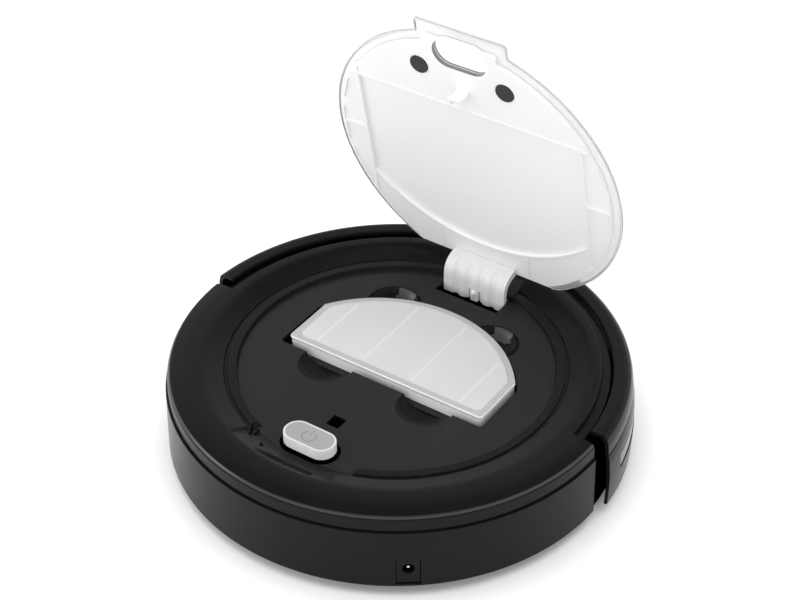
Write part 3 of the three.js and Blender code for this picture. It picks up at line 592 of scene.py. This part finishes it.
def build_cover():
    rear, front = cover_profiles()
    cover = ring_mesh("cover_shell", halves(rear, front))
    under = block("under", -90, 90, -60, 90, 30, DECK_Z - 0.4)
    for pit in scoops(1.8):
        boolean(pit, under.copy(), "INTERSECT")
        join(cover, pit)
    bpy.data.objects.remove(under)
    notch_floor = [
        (105, 55.6), (117, 55.6), (131, 62.4), (131, 63.4), (127, 63.4), (114.5, 60.0), (105, 60.0),
    ]
    dip = [(-24, 64.2), (-10, 60.3), (17, 60.3), (20, 62.4), (20, CLEAR), (-24, CLEAR)]
    join(
        cover,
        sector("notch_floor", notch_floor, 246, 290.4),
        block("pad_floor", -27.5, 27.5, 101.3, 130.5, 59.1, 61.4),
        block("straight_lip", -27.6, 27.6, 100.7, 103.6, 58.9, 60.86),
    )
    cut(
        cover,
        notch(),
        *[prism("lip_gap", corners, DECK_Z - 1.2, 71) for corners in LIP_GAPS],
        block("pad", -26.2, 26.2, 100.3, 128, 60.8, CLEAR),
        block("straight", -26.9, 26.9, 80, 100.6, DECK_Z, 61.2),
        block("arm_room", -26.9, 26.9, 99.9, 115, 45, 59.0),
        block("arm_slot", -24.9, 24.9, 83.6, 100.2, 40, CLEAR),
        prism("box_bay", box_outline(3.2, BOX_FRONT_Y - 5.4), 40, CLEAR),
        prism("latch_hole", rounded(-4.75, -73, 4.75, -63, 1.0), 40, CLEAR),
        prism("button_well", pill(0, BUTTON_Y, 42, 24), 40, CLEAR),
        prism("finger_dip", dip, -123.4, -118.2, "Y"),
        *scoops(0),
    )
    bevel(cover, 0.3)
    # Painted light on the cover: a painted highlight on the shoulder edge, a painted reflection at the rear
    # scoops' far ends and a lighter black on the deck.
    paint(cover, [MATERIALS["body_black"], PAINTED_EDGE_HIGHLIGHT, PAINTED_SCOOP_REFLECTION, DECK_PAINTED_LIGHTER], cover_face)
    return piece(cover, None, "chassis", "body_black", "top_cover")


def pan_profile(foot, top):
    z0 = FLOOR_Z
    return fillet([
        (0, z0, 0), (foot, z0, 1.6), (top, PARTING_Z, 0.5), (top - WALL, PARTING_Z, 0.4),
        (foot - WALL, z0 + PLATE, 0.8), (0, z0 + PLATE, 0),
    ])


def one_side(side, x0, x1, y0, y1, r):
    """A rounded rectangle to the right of the middle for side 1, or its mirror image for side -1."""
    low, high = sorted((x0 * side, x1 * side))
    return rounded(low, y0, high, y1, r)


def build_base():
    base = ring_mesh("base_pan", halves(pan_profile(BASE_R, BASE_TOP_R), pan_profile(FRONT_R, FRONT_R)))
    top = FLOOR_Z + PLATE
    join(
        base,
        prism("caster_cup", circle(0, CASTER_TURN_Y, 22, 64), FLOOR_Z + 0.5, 36),
        block("battery_frame", -48, 48, -139.5, -74, FLOOR_Z + 1, FLOOR_Z + 4.4),
    )
    jack_bay = block("jack_bay", 136.7, 160, -7.7, 7.7, top, 30.1)
    jack_bay.data.transform(Matrix.Rotation(math.radians(JACK_DEG), 4, "Z"))
    cut(
        base,
        prism("cover_seat", rounded(-44, -136.3, 44, -77, 2), 0, FLOOR_Z + 2),
        block("battery_bay", -34, 34, -134.5, -79.5, 0, 20),
        prism("caster_well", circle(0, CASTER_TURN_Y, 20, 64), 0, 29.5),
        prism("caster_bore", circle(0, CASTER_TURN_Y, 4.35, 32), 0, 40),
        prism("mouth", rounded(-32, 63.5, 32, 82, 2), 0, 20),
        block("lip_slot", -40.3, 40.3, 47.7, 50.3, 0, 20),
        jack_bay,
    )
    for side in (-1, 1):
        cut(
            base,
            prism("wheel_bay", one_side(side, 85, 122.5, -30, 36, 3), 0, 20),
            prism("brush_hole", circle(BRUSH.x * side, BRUSH.y, 4.3, 32), 0, 20),
            prism("front_eye", one_side(side, 46, 60, 111, 121, 2), 0, 20),
            prism("side_eye", one_side(side, 124.4, 131.2, 20, 34, 2), 0, 20),
        )
    bevel(base, 0.3)
    return piece(base, MATERIALS["body_black"], "chassis", "body_black", "base_shell")


# ---- Bumper --------------------------------------------------------------------------
def build_bumper():
    r = BUMPER_R - 0.25
    low = bumper_low.z
    profile = fillet([
        (r - 0.6, low, 1.0), (r, 20, 6), (r, 32, 6), (r - 0.9, 44, 3), (r - 2.05, 49.3, 0.2),
        (r - 2.9, 50, 0.15), (r - 2.15, 50.7, 0.2), (r - 2.6, 57.5, 2), (r - 4.1, 62.5, 1.2),
        (r - 6.6, 64.6, 1.6),
        (149, RING_TOP + 0.15, 2), (142.2, RING_TOP - 0.2, 0.8), (141.7, 62.2, 0.2), (149, 62.2, 0),
        (r - 6.6, 60.8, 0), (r - 5.2, 57, 0), (r - 4.9, 50.5, 0), (r - 3.4, 43.6, 0), (r - 2.5, 32, 0),
        (r - 2.5, 20, 0), (r - 3, low, 0.4),
    ])
    shell = sector("bumper_shell", profile, BUMPER_START, 180 - BUMPER_START)
    w_low, w_high = node_box("bumper_window")
    face = w_high.y
    start = math.degrees(math.atan2(w_low.y, w_high.x)) - 0.1
    seat = sector("seat", rectangle(face - 0.9, w_low.z - 0.3, r + 3, w_high.z + 0.3), start, 180 - start)
    cut(shell, seat)
    bevel(shell, 0.25)
    piece(shell, MATERIALS["body_black"], "bumper_unit", "body_black", "bumper")
    outline = fillet([
        (face - 0.6, w_low.z, 0), (face, w_low.z, 0.3), (face, w_high.z, 0.3), (face - 0.6, w_high.z, 0),
    ])
    window = sector("bumper_window_strip", outline, start + 0.1, 179.9 - start)
    piece(window, MATERIALS["smoke"], "bumper_unit", "smoke", "bumper_window")


def build_gap_shades():
    """Near-black pieces that fill the gaps at the bumper's ends, clear of the bumper's travel: painted shade for
    the dark gaps.
    """
    plug = fillet([
        (141.0, FLOOR_Z + 2, 0.5), (150.6, FLOOR_Z + 0.6, 1.5), (150.0, 58, 2), (146, 62.0, 2),
        (141.0, 62.0, 0.5),
    ])
    channel = fillet([
        (140.6, FLOOR_Z + 0.6, 0.2), (150.4, FLOOR_Z + 0.6, 0.6), (150.4, FLOOR_Z + 2.4, 0.6),
        (142.4, FLOOR_Z + 2.4, 1.0), (141.9, 61.9, 0.2), (140.6, 61.9, 0.2),
    ])
    for name, plug_from, channel_from in (("right", -0.55, -0.4), ("left", 179.35, 142.4)):
        # Each gap gets a plug and a lining of painted shade.
        shade_plug = sector("gap_shade_" + name, plug, plug_from, plug_from + 1.2, steps=1200)
        piece(shade_plug, PAINTED_SHADE_BLACK, "chassis", "inner_black")
        lining = sector("gap_shade_lining_" + name, channel, channel_from, channel_from + 38, steps=ROUND * 2)
        piece(lining, PAINTED_SHADE_BLACK, "chassis", "inner_black")


# ---- Lid -----------------------------------------------------------------------------
OPEN_LID = (
    Matrix.Translation(PIVOT * MM)
    @ Matrix.Rotation(math.radians(-LID_OPEN_DEG), 4, "X")
    @ Matrix.Translation(-PIVOT * MM)
)


def lid_y(v):
    return LID_CY - v


def opened(obj):
    obj.data.transform(OPEN_LID)
    return obj


def lid_outline(r, chord, tab_half, tab_end, flare, corner=3.0, steps=64):
    """A disc cut off straight at the hinge, with a tab on the other side that flares into it."""
    chord_deg = math.degrees(math.asin(chord / r))
    wide = tab_half + flare
    tab_deg = math.degrees(math.acos(wide / r))
    shoulder = LID_CY - r * math.sin(math.radians(tab_deg))
    y = lid_y(tab_end)
    half_chord = r * math.cos(math.radians(chord_deg))
    right = arc(0, LID_CY, r, -tab_deg, chord_deg - 4, steps)
    left = [(-a, b) for a, b in reversed(right)]
    hinge_side = fillet([
        (right[-1][0], right[-1][1], 0), (half_chord, LID_CY + chord, 6),
        (-half_chord, LID_CY + chord, 6), (left[0][0], left[0][1], 0),
    ], 6)
    tab = fillet([
        (left[-1][0], left[-1][1], 0), (-tab_half, shoulder - 1.5, flare), (-tab_half, y, corner),
        (tab_half, y, corner), (tab_half, shoulder - 1.5, flare), (right[0][0], right[0][1], 0),
    ], 6)
    return right[1:-1] + hinge_side + left[1:-1] + tab


def lid_face(face):
    """0 for broad faces and outer walls, 1 for rounded edges, which get painted shade lines, 2 for the wall of the
    button hole, which gets painted shade.
    """
    centre = face.center / MM
    flat = abs(face.normal.z)
    straight = (HOLE_LENGTH - HOLE_WIDTH) / 2
    from_hole = math.hypot(max(abs(centre.x) - straight, 0), centre.y - lid_y(HOLE_V))
    if flat < 0.3 and from_hole < HOLE_WIDTH / 2 + 0.6:
        return 2
    return 1 if 0.12 < flat < 0.97 else 0


def button_hole():
    return prism("hole", pill(0, lid_y(HOLE_V), HOLE_LENGTH, HOLE_WIDTH, 28), 50, 70)


def build_lid_window():
    window = prism("lid_clear_panel", lid_outline(LID_R, 94.5, 34, 114.6, 4), LID_Z0, LID_Z1)
    rim = prism("rim_room", lid_outline(LID_R - 1.3, 93.2, 32.7, 113.3, 4), LID_Z0 - 1, LID_Z0 + 0.5)
    cut(window, rim, button_hole())
    bevel(window, 0.4, segments=3)
    # The clear panel's rounded edges and hole wall get painted shade.
    paint(window, [MATERIALS["lid_clear"], CLEAR_EDGE_PAINTED_SHADE, HOLE_WALL_PAINTED_SHADE], lid_face)
    opened(window)
    return piece(window, None, "lid", "lid_clear", "lid_window")


def rib(x0, x1, va, vb, top):
    return block("rib", x0, x1, lid_y(vb), lid_y(va), 58.2, top)


def build_lid_panel():
    top = LID_Z0 - 0.3
    shelf = PANEL_Z0 + 1.2  # underside of the shallow side fields
    panel = prism("lid_inner_panel", lid_outline(PANEL_R - 0.6, 90, 27.5, 105.6, 4), PANEL_Z0, top)
    field = [(-83.1, lid_y(51.2)), (83.1, lid_y(51.2))] + arc(0, lid_y(44), 115.3, 44, 136, 40)
    recess = prism("recess", field, 50, 60.5)
    seats = [prism("seat", circle(x, lid_y(PAD_V), 6.9, 40), 50, PANEL_Z0 + 1) for x in (-PAD_X, PAD_X)]
    side = [
        prism("field", fillet([
            (85.2 * s, lid_y(50), 1), (91 * s, lid_y(50), 1), (101.5 * s, lid_y(20), 1),
            (102.6 * s, lid_y(3.4), 1), (85.2 * s, lid_y(3.4), 1),
        ]), 50, shelf) for s in (-1, 1)
    ] + [
        prism("field", fillet([
            (85.2 * s, lid_y(0.8), 1), (102.6 * s, lid_y(0.8), 1), (101.5 * s, lid_y(-20), 1),
            (88 * s, lid_y(-53), 1), (85.2 * s, lid_y(-55), 1),
        ]), 50, shelf) for s in (-1, 1)
    ]
    cut(panel, recess, *side, button_hole(), *seats)
    arc_rib = prism(
        "arc_rib", arc(0, lid_y(44), 116.9, 44, 136, 48) + arc(0, lid_y(44), 115.3, 136, 44, 48), 58.2, 60
    )
    join(
        panel,
        rib(-88.5, 88.5, 51, 52.4, 59.5),
        rib(83.4, 84.8, -56, 58, 59.5),
        rib(-84.8, -83.4, -56, 58, 59.5),
        rib(34.4, 35.6, -88.6, -70, 59.5),
        rib(-35.6, -34.4, -88.6, -70, 59.5),
        arc_rib,
    )
    bevel(panel, 0.3)
    # The white panel's rounded edges and hole wall get painted shade.
    paint(panel, [MATERIALS["lid_white"], PANEL_EDGE_PAINTED_SHADE, HOLE_WALL_PAINTED_SHADE], lid_face)
    opened(panel)
    return piece(panel, None, "lid", "lid_white", "lid_panel")


def build_hook():
    """The latch hook that drops through the hole in the deck."""
    profile = fillet([
        (-64.6, 59.6, 0), (-65.4, 47.6, 1.0), (-71.8, 47.6, 1.2), (-71.8, 49.4, 0.8), (-69.6, 50.8, 0.6),
        (-69.4, 57.6, 1.2), (-71.5, 59.6, 0),
    ])
    hook = prism("latch_hook", profile, -4.2, 4.2, "X")
    cut(hook, block("relief", -2.4, 2.4, -69, -60, 40, 56.5))
    bevel(hook, 0.5, segments=3)
    opened(hook)
    return piece(hook, MATERIALS["lid_white"], "lid", "lid_white")


def build_pads():
    section = fillet([(0, 58.0, 0), (6.6, 58.0, 0.6), (6.6, 59.6, 0.3), (0, 59.6, 0)])
    for name, x in (("right", PAD_X), ("left", -PAD_X)):
        pad = lathe("magnet_pad_" + name, section, 48)
        pad.data.transform(Matrix.Translation(Vector((x, lid_y(PAD_V), 0)) * MM))
        opened(pad)
        piece(pad, MATERIALS["rubber"], "lid", "rubber", "lid_pad_" + name)


ARM_HALF = 24.4
ARM_FACE = [
    (94.4, 50.8), (94.2, 58), (94.2, 66.2), (94.9, 70.2), (97.0, 73.9), (101.0, 76.8), (108.3, 78.9),
]
ARM_BACK = [(109.3, 73.8), (103.4, 72.3), (100.2, 70.0), (98.3, 67.0), (97.6, 63), (97.6, 50.8)]


def arm_groove(x):
    """Depth of the four rounded grooves between the arm's five ribs, 0 to 1."""
    pitch = 2 * ARM_HALF / 5
    nearest = min(abs(x - (k - 1.5) * pitch) for k in range(4))
    return max(0.0, math.cos(min(nearest / 3.0, 1) * math.pi / 2)) ** 1.3


def arm_curve(points, closing):
    """A smooth curve through the arm's points; the closing corner only turns the fillets at its ends."""
    last = len(points) - 1
    corners = [(y, z, 0 if i in (0, last) else 3) for i, (y, z) in enumerate(points)]
    return fillet(corners + [closing], 5)[:-1]


def build_arm():
    """The ribbed gooseneck that joins the lid to its hinge pin."""
    face = arm_curve(ARM_FACE, (110, 79, 0))
    back = arm_curve(ARM_BACK, (110, 50, 0))
    normals = []
    for i in range(len(face)):
        a, b = Vector(face[max(i - 1, 0)]), Vector(face[min(i + 1, len(face) - 1)])
        along = (b - a).normalized()
        normals.append(Vector((along.y, -along.x)))
    bm = bmesh.new()
    rings = []
    stations = 160
    for k in range(stations + 1):
        x = -ARM_HALF + 2 * ARM_HALF * k / stations
        depth = 1.35 * arm_groove(x)
        ends = [min(1.0, (len(face) - 1 - i) / 5) for i in range(len(face))]
        points = [Vector(p) + n * depth * e for p, n, e in zip(face, normals, ends)]
        points += [Vector(p) for p in back]
        rings.append([bm.verts.new((x * MM, p.x * MM, p.y * MM)) for p in points])
    for a, b in zip(rings, rings[1:]):
        for i in range(len(a)):
            m = (i + 1) % len(a)
            bm.faces.new((a[i], a[m], b[m], b[i]))
    bm.faces.new(rings[0])
    bm.faces.new(rings[-1])
    arm = mesh_object("hinge_arm", bm)
    boss = turn_to_x(lathe("boss", [(0, -20), (4.4, -20), (4.4, 20), (0, 20)], 48), PIVOT.y, PIVOT.z)
    web = block("web", -19.9, 19.9, 97, PIVOT.y, 51, 57)
    join(arm, boss, web, block("shelf", -19.8, 19.8, 97.2, 101, 52, 66))
    cut(
        arm,
        block("slit", -4.7, -3.2, 90, 97.4, 40, 59.5),
        block("slit", 3.2, 4.7, 90, 97.4, 40, 59.5),
        turn_to_x(lathe("bore", [(0, -40), (2.35, -40), (2.35, 40), (0, 40)], 32), PIVOT.y, PIVOT.z),
    )
    join(arm, ellipsoid("tongue", (0, 94.6, 57.6), (2.4, 1.9, 2.6), 24))
    return piece(arm, ARM_WHITE_PAINTED_SHADE, "lid", "lid_white", "lid_arm", smooth=45)


# ---- Power button --------------------------------------------------------------------
def build_button():
    foot_z = DECK_Z + 1.3
    outline = pill(0, BUTTON_Y, BUTTON_LENGTH, BUTTON_WIDTH, 28)
    body = prism("button_body", outline, foot_z, BUTTON_TOP - 0.7)
    bevel(body, 0.3)
    piece(body, MATERIALS["lid_white"], "button", "lid_white", "power_button")
    # The button's foot and flange are near-black painted shade, darkening the button's lower edges.
    foot = prism("button_foot", pill(0, BUTTON_Y, 36.4, 18.4, 28), 53.6, foot_z - 0.05)
    join(foot, prism("flange", pill(0, BUTTON_Y, 45, 27, 28), 52.8, 54.4))
    bevel(foot, 0.2)
    piece(foot, PAINTED_SHADE_BLACK, "button", "lid_white")
    rim = prism("button_rim", pill(0, BUTTON_Y, 36.9, 18.9, 28), BUTTON_TOP - 0.68, BUTTON_TOP)
    bevel(rim, 0.65, segments=4)
    piece(rim, BUTTON_RIM, "button", "button_grey", "power_button_cap")
    top = prism("button_inlay", pill(0, BUTTON_Y, 34.2, 16.2, 28), BUTTON_TOP - 0.3, BUTTON_TOP + 0.03)
    bevel(top, 0.02)
    piece(top, MATERIALS["button_grey"], "button", "button_grey")
    z0, z1 = BUTTON_TOP - 0.1, BUTTON_TOP + 0.05
    ring_y = BUTTON_Y - 0.6
    ring = arc(0, ring_y, 5.2, 126, 414, 40) + arc(0, ring_y, 4.1, 414, 126, 40)
    bar = prism("bar", rounded(-0.55, BUTTON_Y + 0.9, 0.55, BUTTON_Y + 5.7, 0.3), z0, z1)
    icon = merged("power_icon", [prism("ring", ring, z0, z1), bar])
    piece(icon, ICON, "button", "button_grey")


# ---- Dust box ------------------------------------------------------------------------
def build_dust_box():
    wall = 1.8
    rim = prism("box_rim", box_outline(-0.5, BOX_FRONT_Y + 0.5), 49.6, 57.0)
    body = prism("dust_box_body", box_outline(-2.5, BOX_FRONT_Y + 2), 14, 57)
    nose = block("nose", -100, 100, 53.8, 90, 0, 49.5)
    cut(body, nose)
    join(body, rim)
    cut(
        body,
        prism("inside", box_outline(-2.5 - wall, BOX_FRONT_Y + 2 + wall), 14 + wall, 60),
    )
    filler = block("nose_wall", -42, 42, 52.0, 53.8, 14, 49.6)
    join(body, filler)
    cut(
        body,
        block("inlet", -30, 30, 50, 56, 18.4, 34),
        block("outlet", -50, 50, -17, -10, 22, 46),
    )
    bevel(body, 0.4)
    # The walls get the lightened frosted grey, painted light.
    piece(body, BOX_WALL_PAINTED_LIGHT, "dust_box_unit", "box_frost", "dust_box")


def build_box_cover():
    rim = prism("box_cover_rim", box_outline(0, BOX_FRONT_Y), 57.9, BOX_TOP)
    bevel(rim, 0.7, segments=3)
    cut(rim, prism("panel_seat", box_outline(-4.3, BOX_FRONT_Y + 4.3, corner=5), BOX_TOP - 0.6, 65))
    # Top faces keep the darker band; sides and rounded edges get the lightened grey as a painted highlight.
    paint(rim, [BAND, BOX_WALL_PAINTED_LIGHT], lambda face: 0 if face.normal.z > 0.9 else 1)
    piece(rim, None, "dust_box_unit", "box_frost", "dust_box_cover")
    inner = box_outline(-4.6, BOX_FRONT_Y + 4.6, corner=5)
    panel = prism("box_cover_panel", inner, BOX_TOP - 0.58, BOX_TOP - 0.15)
    bevel(panel, 0.2)
    ribs = []
    for x in (-57, -20.5, 18, 56):
        reach = math.sqrt((BOX_ARC_R - 7) ** 2 - x * x) + BOX_ARC_Y
        arch = fillet([
            (x - 1.3, BOX_TOP - 0.3, 0), (x + 1.3, BOX_TOP - 0.3, 0), (x + 0.8, BOX_TOP - 0.1, 0.5),
            (x - 0.8, BOX_TOP - 0.1, 0.5),
        ])
        ribs.append(prism("rib", arch, BOX_FRONT_Y + 6, reach, "Y"))
    piece(panel, MATERIALS["box_frost"], "dust_box_unit", "box_frost")
    piece(merged("box_cover_ribs", ribs), BOX_RIB, "dust_box_unit", "box_frost")


# ---- Power socket --------------------------------------------------------------------
def build_jack():
    turn = Matrix.Rotation(math.radians(JACK_DEG), 4, "Z")
    face = prism("jack_socket", rounded(-7.4, 10.7, 7.4, 29.8, 0.5), 137, JACK_FACE, "X")
    hollow = lathe("bore", fillet([(0, 2.5, 0), (3.9, 2.5, 0.3), (3.9, 20, 0), (0, 20, 0)]), 48)
    bore = turn_to_x(hollow, 0, JACK_Z, 137.7)
    cut(face, bore)
    bevel(face, 0.3, segments=3)
    face.data.transform(turn)
    piece(face, MATERIALS["body_black"], "chassis", "inner_black", "dc_jack")
    rod = lathe("jack_pin", fillet([(0, 0, 0), (1.0, 0, 0), (1.0, 13.1, 0.7), (0, 13.1, 0)]), 32)
    pin = turn_to_x(rod, 0, JACK_Z, 137)
    pin.data.transform(turn)
    piece(pin, MATERIALS["steel"], "chassis", "steel", "dc_jack_pin")


# ---- Wheels --------------------------------------------------------------------------
def build_tyre():
    lugs = 30
    pitch = 360 / lugs
    root = WHEEL_R - 1.5
    tooth = ((-0.24, WHEEL_R), (0, WHEEL_R), (0.24, WHEEL_R), (0.34, root), (0.66, root))
    outline = []
    for i in range(lugs):
        a = i * pitch - 90
        for da, r in tooth:
            t = math.radians(a + da * pitch)
            outline.append((r * math.cos(t), WHEEL_R + r * math.sin(t)))
    tyre = prism("tyre_right", outline, WHEEL_X0, WHEEL_X1, "X")
    hole = turn_to_x(lathe("hole", [(0, 0), (22.9, 0), (22.9, 40), (0, 40)], 96), 0, WHEEL_R, 90)
    cut(tyre, hole)
    bevel(tyre, 0.4)
    left = mirrored(tyre, "tyre_left")
    piece(tyre, MATERIALS["tyre"], "drive_wheel_right", "tyre", "wheel_tyre_right")
    piece(left, MATERIALS["tyre"], "drive_wheel_left", "tyre", "wheel_tyre_left")


def build_caster_wheel():
    r = CASTER.z
    profile = fillet([
        (1.8, -7, 0.3), (8.6, -7, 0.6), (r, -4.4, 1.6), (r, 4.4, 1.6), (8.6, 7, 0.6), (1.8, 7, 0.3),
    ])
    wheel = turn_to_x(lathe("caster_roller_wheel", profile, 96), CASTER.y, CASTER.z)
    piece(wheel, MATERIALS["button_grey"], "caster_roller", "button_grey", "caster_wheel")


def build_bristles():
    """Three fans of bent nylon strands on each side brush."""
    random.seed(7)
    bm = bmesh.new()
    thick = 0.22
    for tuft in range(3):
        for i in range(70):
            turn = 90 + tuft * 120 + random.uniform(-4, 4)
            fan = random.uniform(-9, 9)
            z = random.uniform(1.8, 2.9)
            length = random.uniform(43, 47.5)
            rings = []
            for k in range(5):
                u = k / 4
                r = 14 + (length - 14) * u
                a = math.radians(turn + fan * u * u)
                centre = Vector((r * math.cos(a), r * math.sin(a), z + (1.55 - z) * u * u))
                side = Vector((-math.sin(a), math.cos(a), 0)) * thick
                up = Vector((0, 0, thick * (1 - 0.4 * u)))
                centre += BRUSH.xy.to_3d()
                rings.append([bm.verts.new((centre + d) * MM) for d in (side, up, -side, -up)])
            for a_ring, b_ring in zip(rings, rings[1:]):
                for k in range(4):
                    bm.faces.new((a_ring[k], a_ring[(k + 1) % 4], b_ring[(k + 1) % 4], b_ring[k]))
            bm.faces.new(rings[0])
            bm.faces.new(rings[-1])
    right = mesh_object("bristles_right", bm)
    left = mirrored(right, "bristles_left")
    piece(right, MATERIALS["bristle"], "brush_right", "bristle", "side_brush_bristles_right")
    piece(left, MATERIALS["bristle"], "brush_left", "bristle", "side_brush_bristles_left")


# ---- Stage ---------------------------------------------------------------------------
CAMERA_AZIMUTH = 34.34  # degrees from straight behind the button, towards +X
CAMERA_ELEVATION = 37.59
CAMERA_ROLL = -0.26
CAMERA_TARGET = Vector((-19.06, 32.26, 83.0))
CAMERA_DISTANCE_M = 1.2804


def build_camera():
    azimuth, elevation = math.radians(CAMERA_AZIMUTH), math.radians(CAMERA_ELEVATION)
    back = Vector((
        math.sin(azimuth) * math.cos(elevation),
        -math.cos(azimuth) * math.cos(elevation),
        math.sin(elevation),
    ))
    place = Matrix.Translation(CAMERA_TARGET * MM + back * CAMERA_DISTANCE_M)
    data = bpy.data.cameras.new("camera")
    data.sensor_width = 36.0
    data.lens = 86.59
    data.clip_start = 0.05
    data.clip_end = 30
    camera = bpy.data.objects.new("camera", data)
    turn = back.to_track_quat("Z", "Y").to_matrix().to_4x4()
    camera.matrix_world = place @ turn @ Matrix.Rotation(math.radians(CAMERA_ROLL), 4, "Z")
    bpy.context.scene.collection.objects.link(camera)
    bpy.context.scene.camera = camera


def build_floor():
    bm = bmesh.new()
    bmesh.ops.create_grid(bm, x_segments=8, y_segments=8, size=6.0)
    floor = mesh_object("floor", bm)
    white = moulded("floor_white", grey(0.9), grey(0.92), (0.6, 0.7), 200.0, 0.00001)
    floor.data.materials.append(white)


def area_light(name, place, size, power, glossy=True):
    data = bpy.data.lights.new(name, "AREA")
    data.shape = "DISK"
    data.size = size
    data.energy = power
    light = bpy.data.objects.new(name, data)
    light.location = place
    light.rotation_euler = (Vector(place) - Vector((0, 0, 0.05))).to_track_quat("Z", "Y").to_euler()
    light.visible_glossy = glossy
    bpy.context.scene.collection.objects.link(light)


def build_light():
    """A pale room that is brighter low down than overhead, with soft lights above."""
    world = bpy.data.worlds.new("studio")
    world.use_nodes = True
    bpy.context.scene.world = world
    nodes, links = world.node_tree.nodes, world.node_tree.links
    background = nodes["Background"]
    place = nodes.new("ShaderNodeTexCoord")
    parts = nodes.new("ShaderNodeSeparateXYZ")
    ramp = nodes.new("ShaderNodeValToRGB")
    ramp.color_ramp.elements[0].position = 0.60
    ramp.color_ramp.elements[0].color = (1.0, 1.0, 1.0, 1)
    ramp.color_ramp.elements[1].position = 0.82
    ramp.color_ramp.elements[1].color = (0.06, 0.06, 0.06, 1)
    links.new(place.outputs["Generated"], parts.inputs["Vector"])
    links.new(parts.outputs["Z"], ramp.inputs["Fac"])
    links.new(ramp.outputs["Color"], background.inputs["Color"])
    background.inputs["Strength"].default_value = 1.0
    area_light("overhead", (0, 0, 2.4), 3.2, 72, glossy=False)
    area_light("front", (0.7, -2.2, 1.2), 1.8, 13, glossy=False)
    area_light("left_fill", (-1.8, -1.2, 1.0), 1.2, 8)
    bpy.context.scene.view_settings.view_transform = "Standard"
    bpy.context.scene.view_settings.exposure = 0.0


# ---- Everything ----------------------------------------------------------------------
build_camera()
build_floor()
build_light()
dress_frame()
build_cover()
build_base()
build_bumper()
build_gap_shades()
build_lid_window()
build_lid_panel()
build_hook()
build_pads()
build_arm()
build_button()
build_dust_box()
build_box_cover()
build_jack()
build_tyre()
build_caster_wheel()
build_bristles()
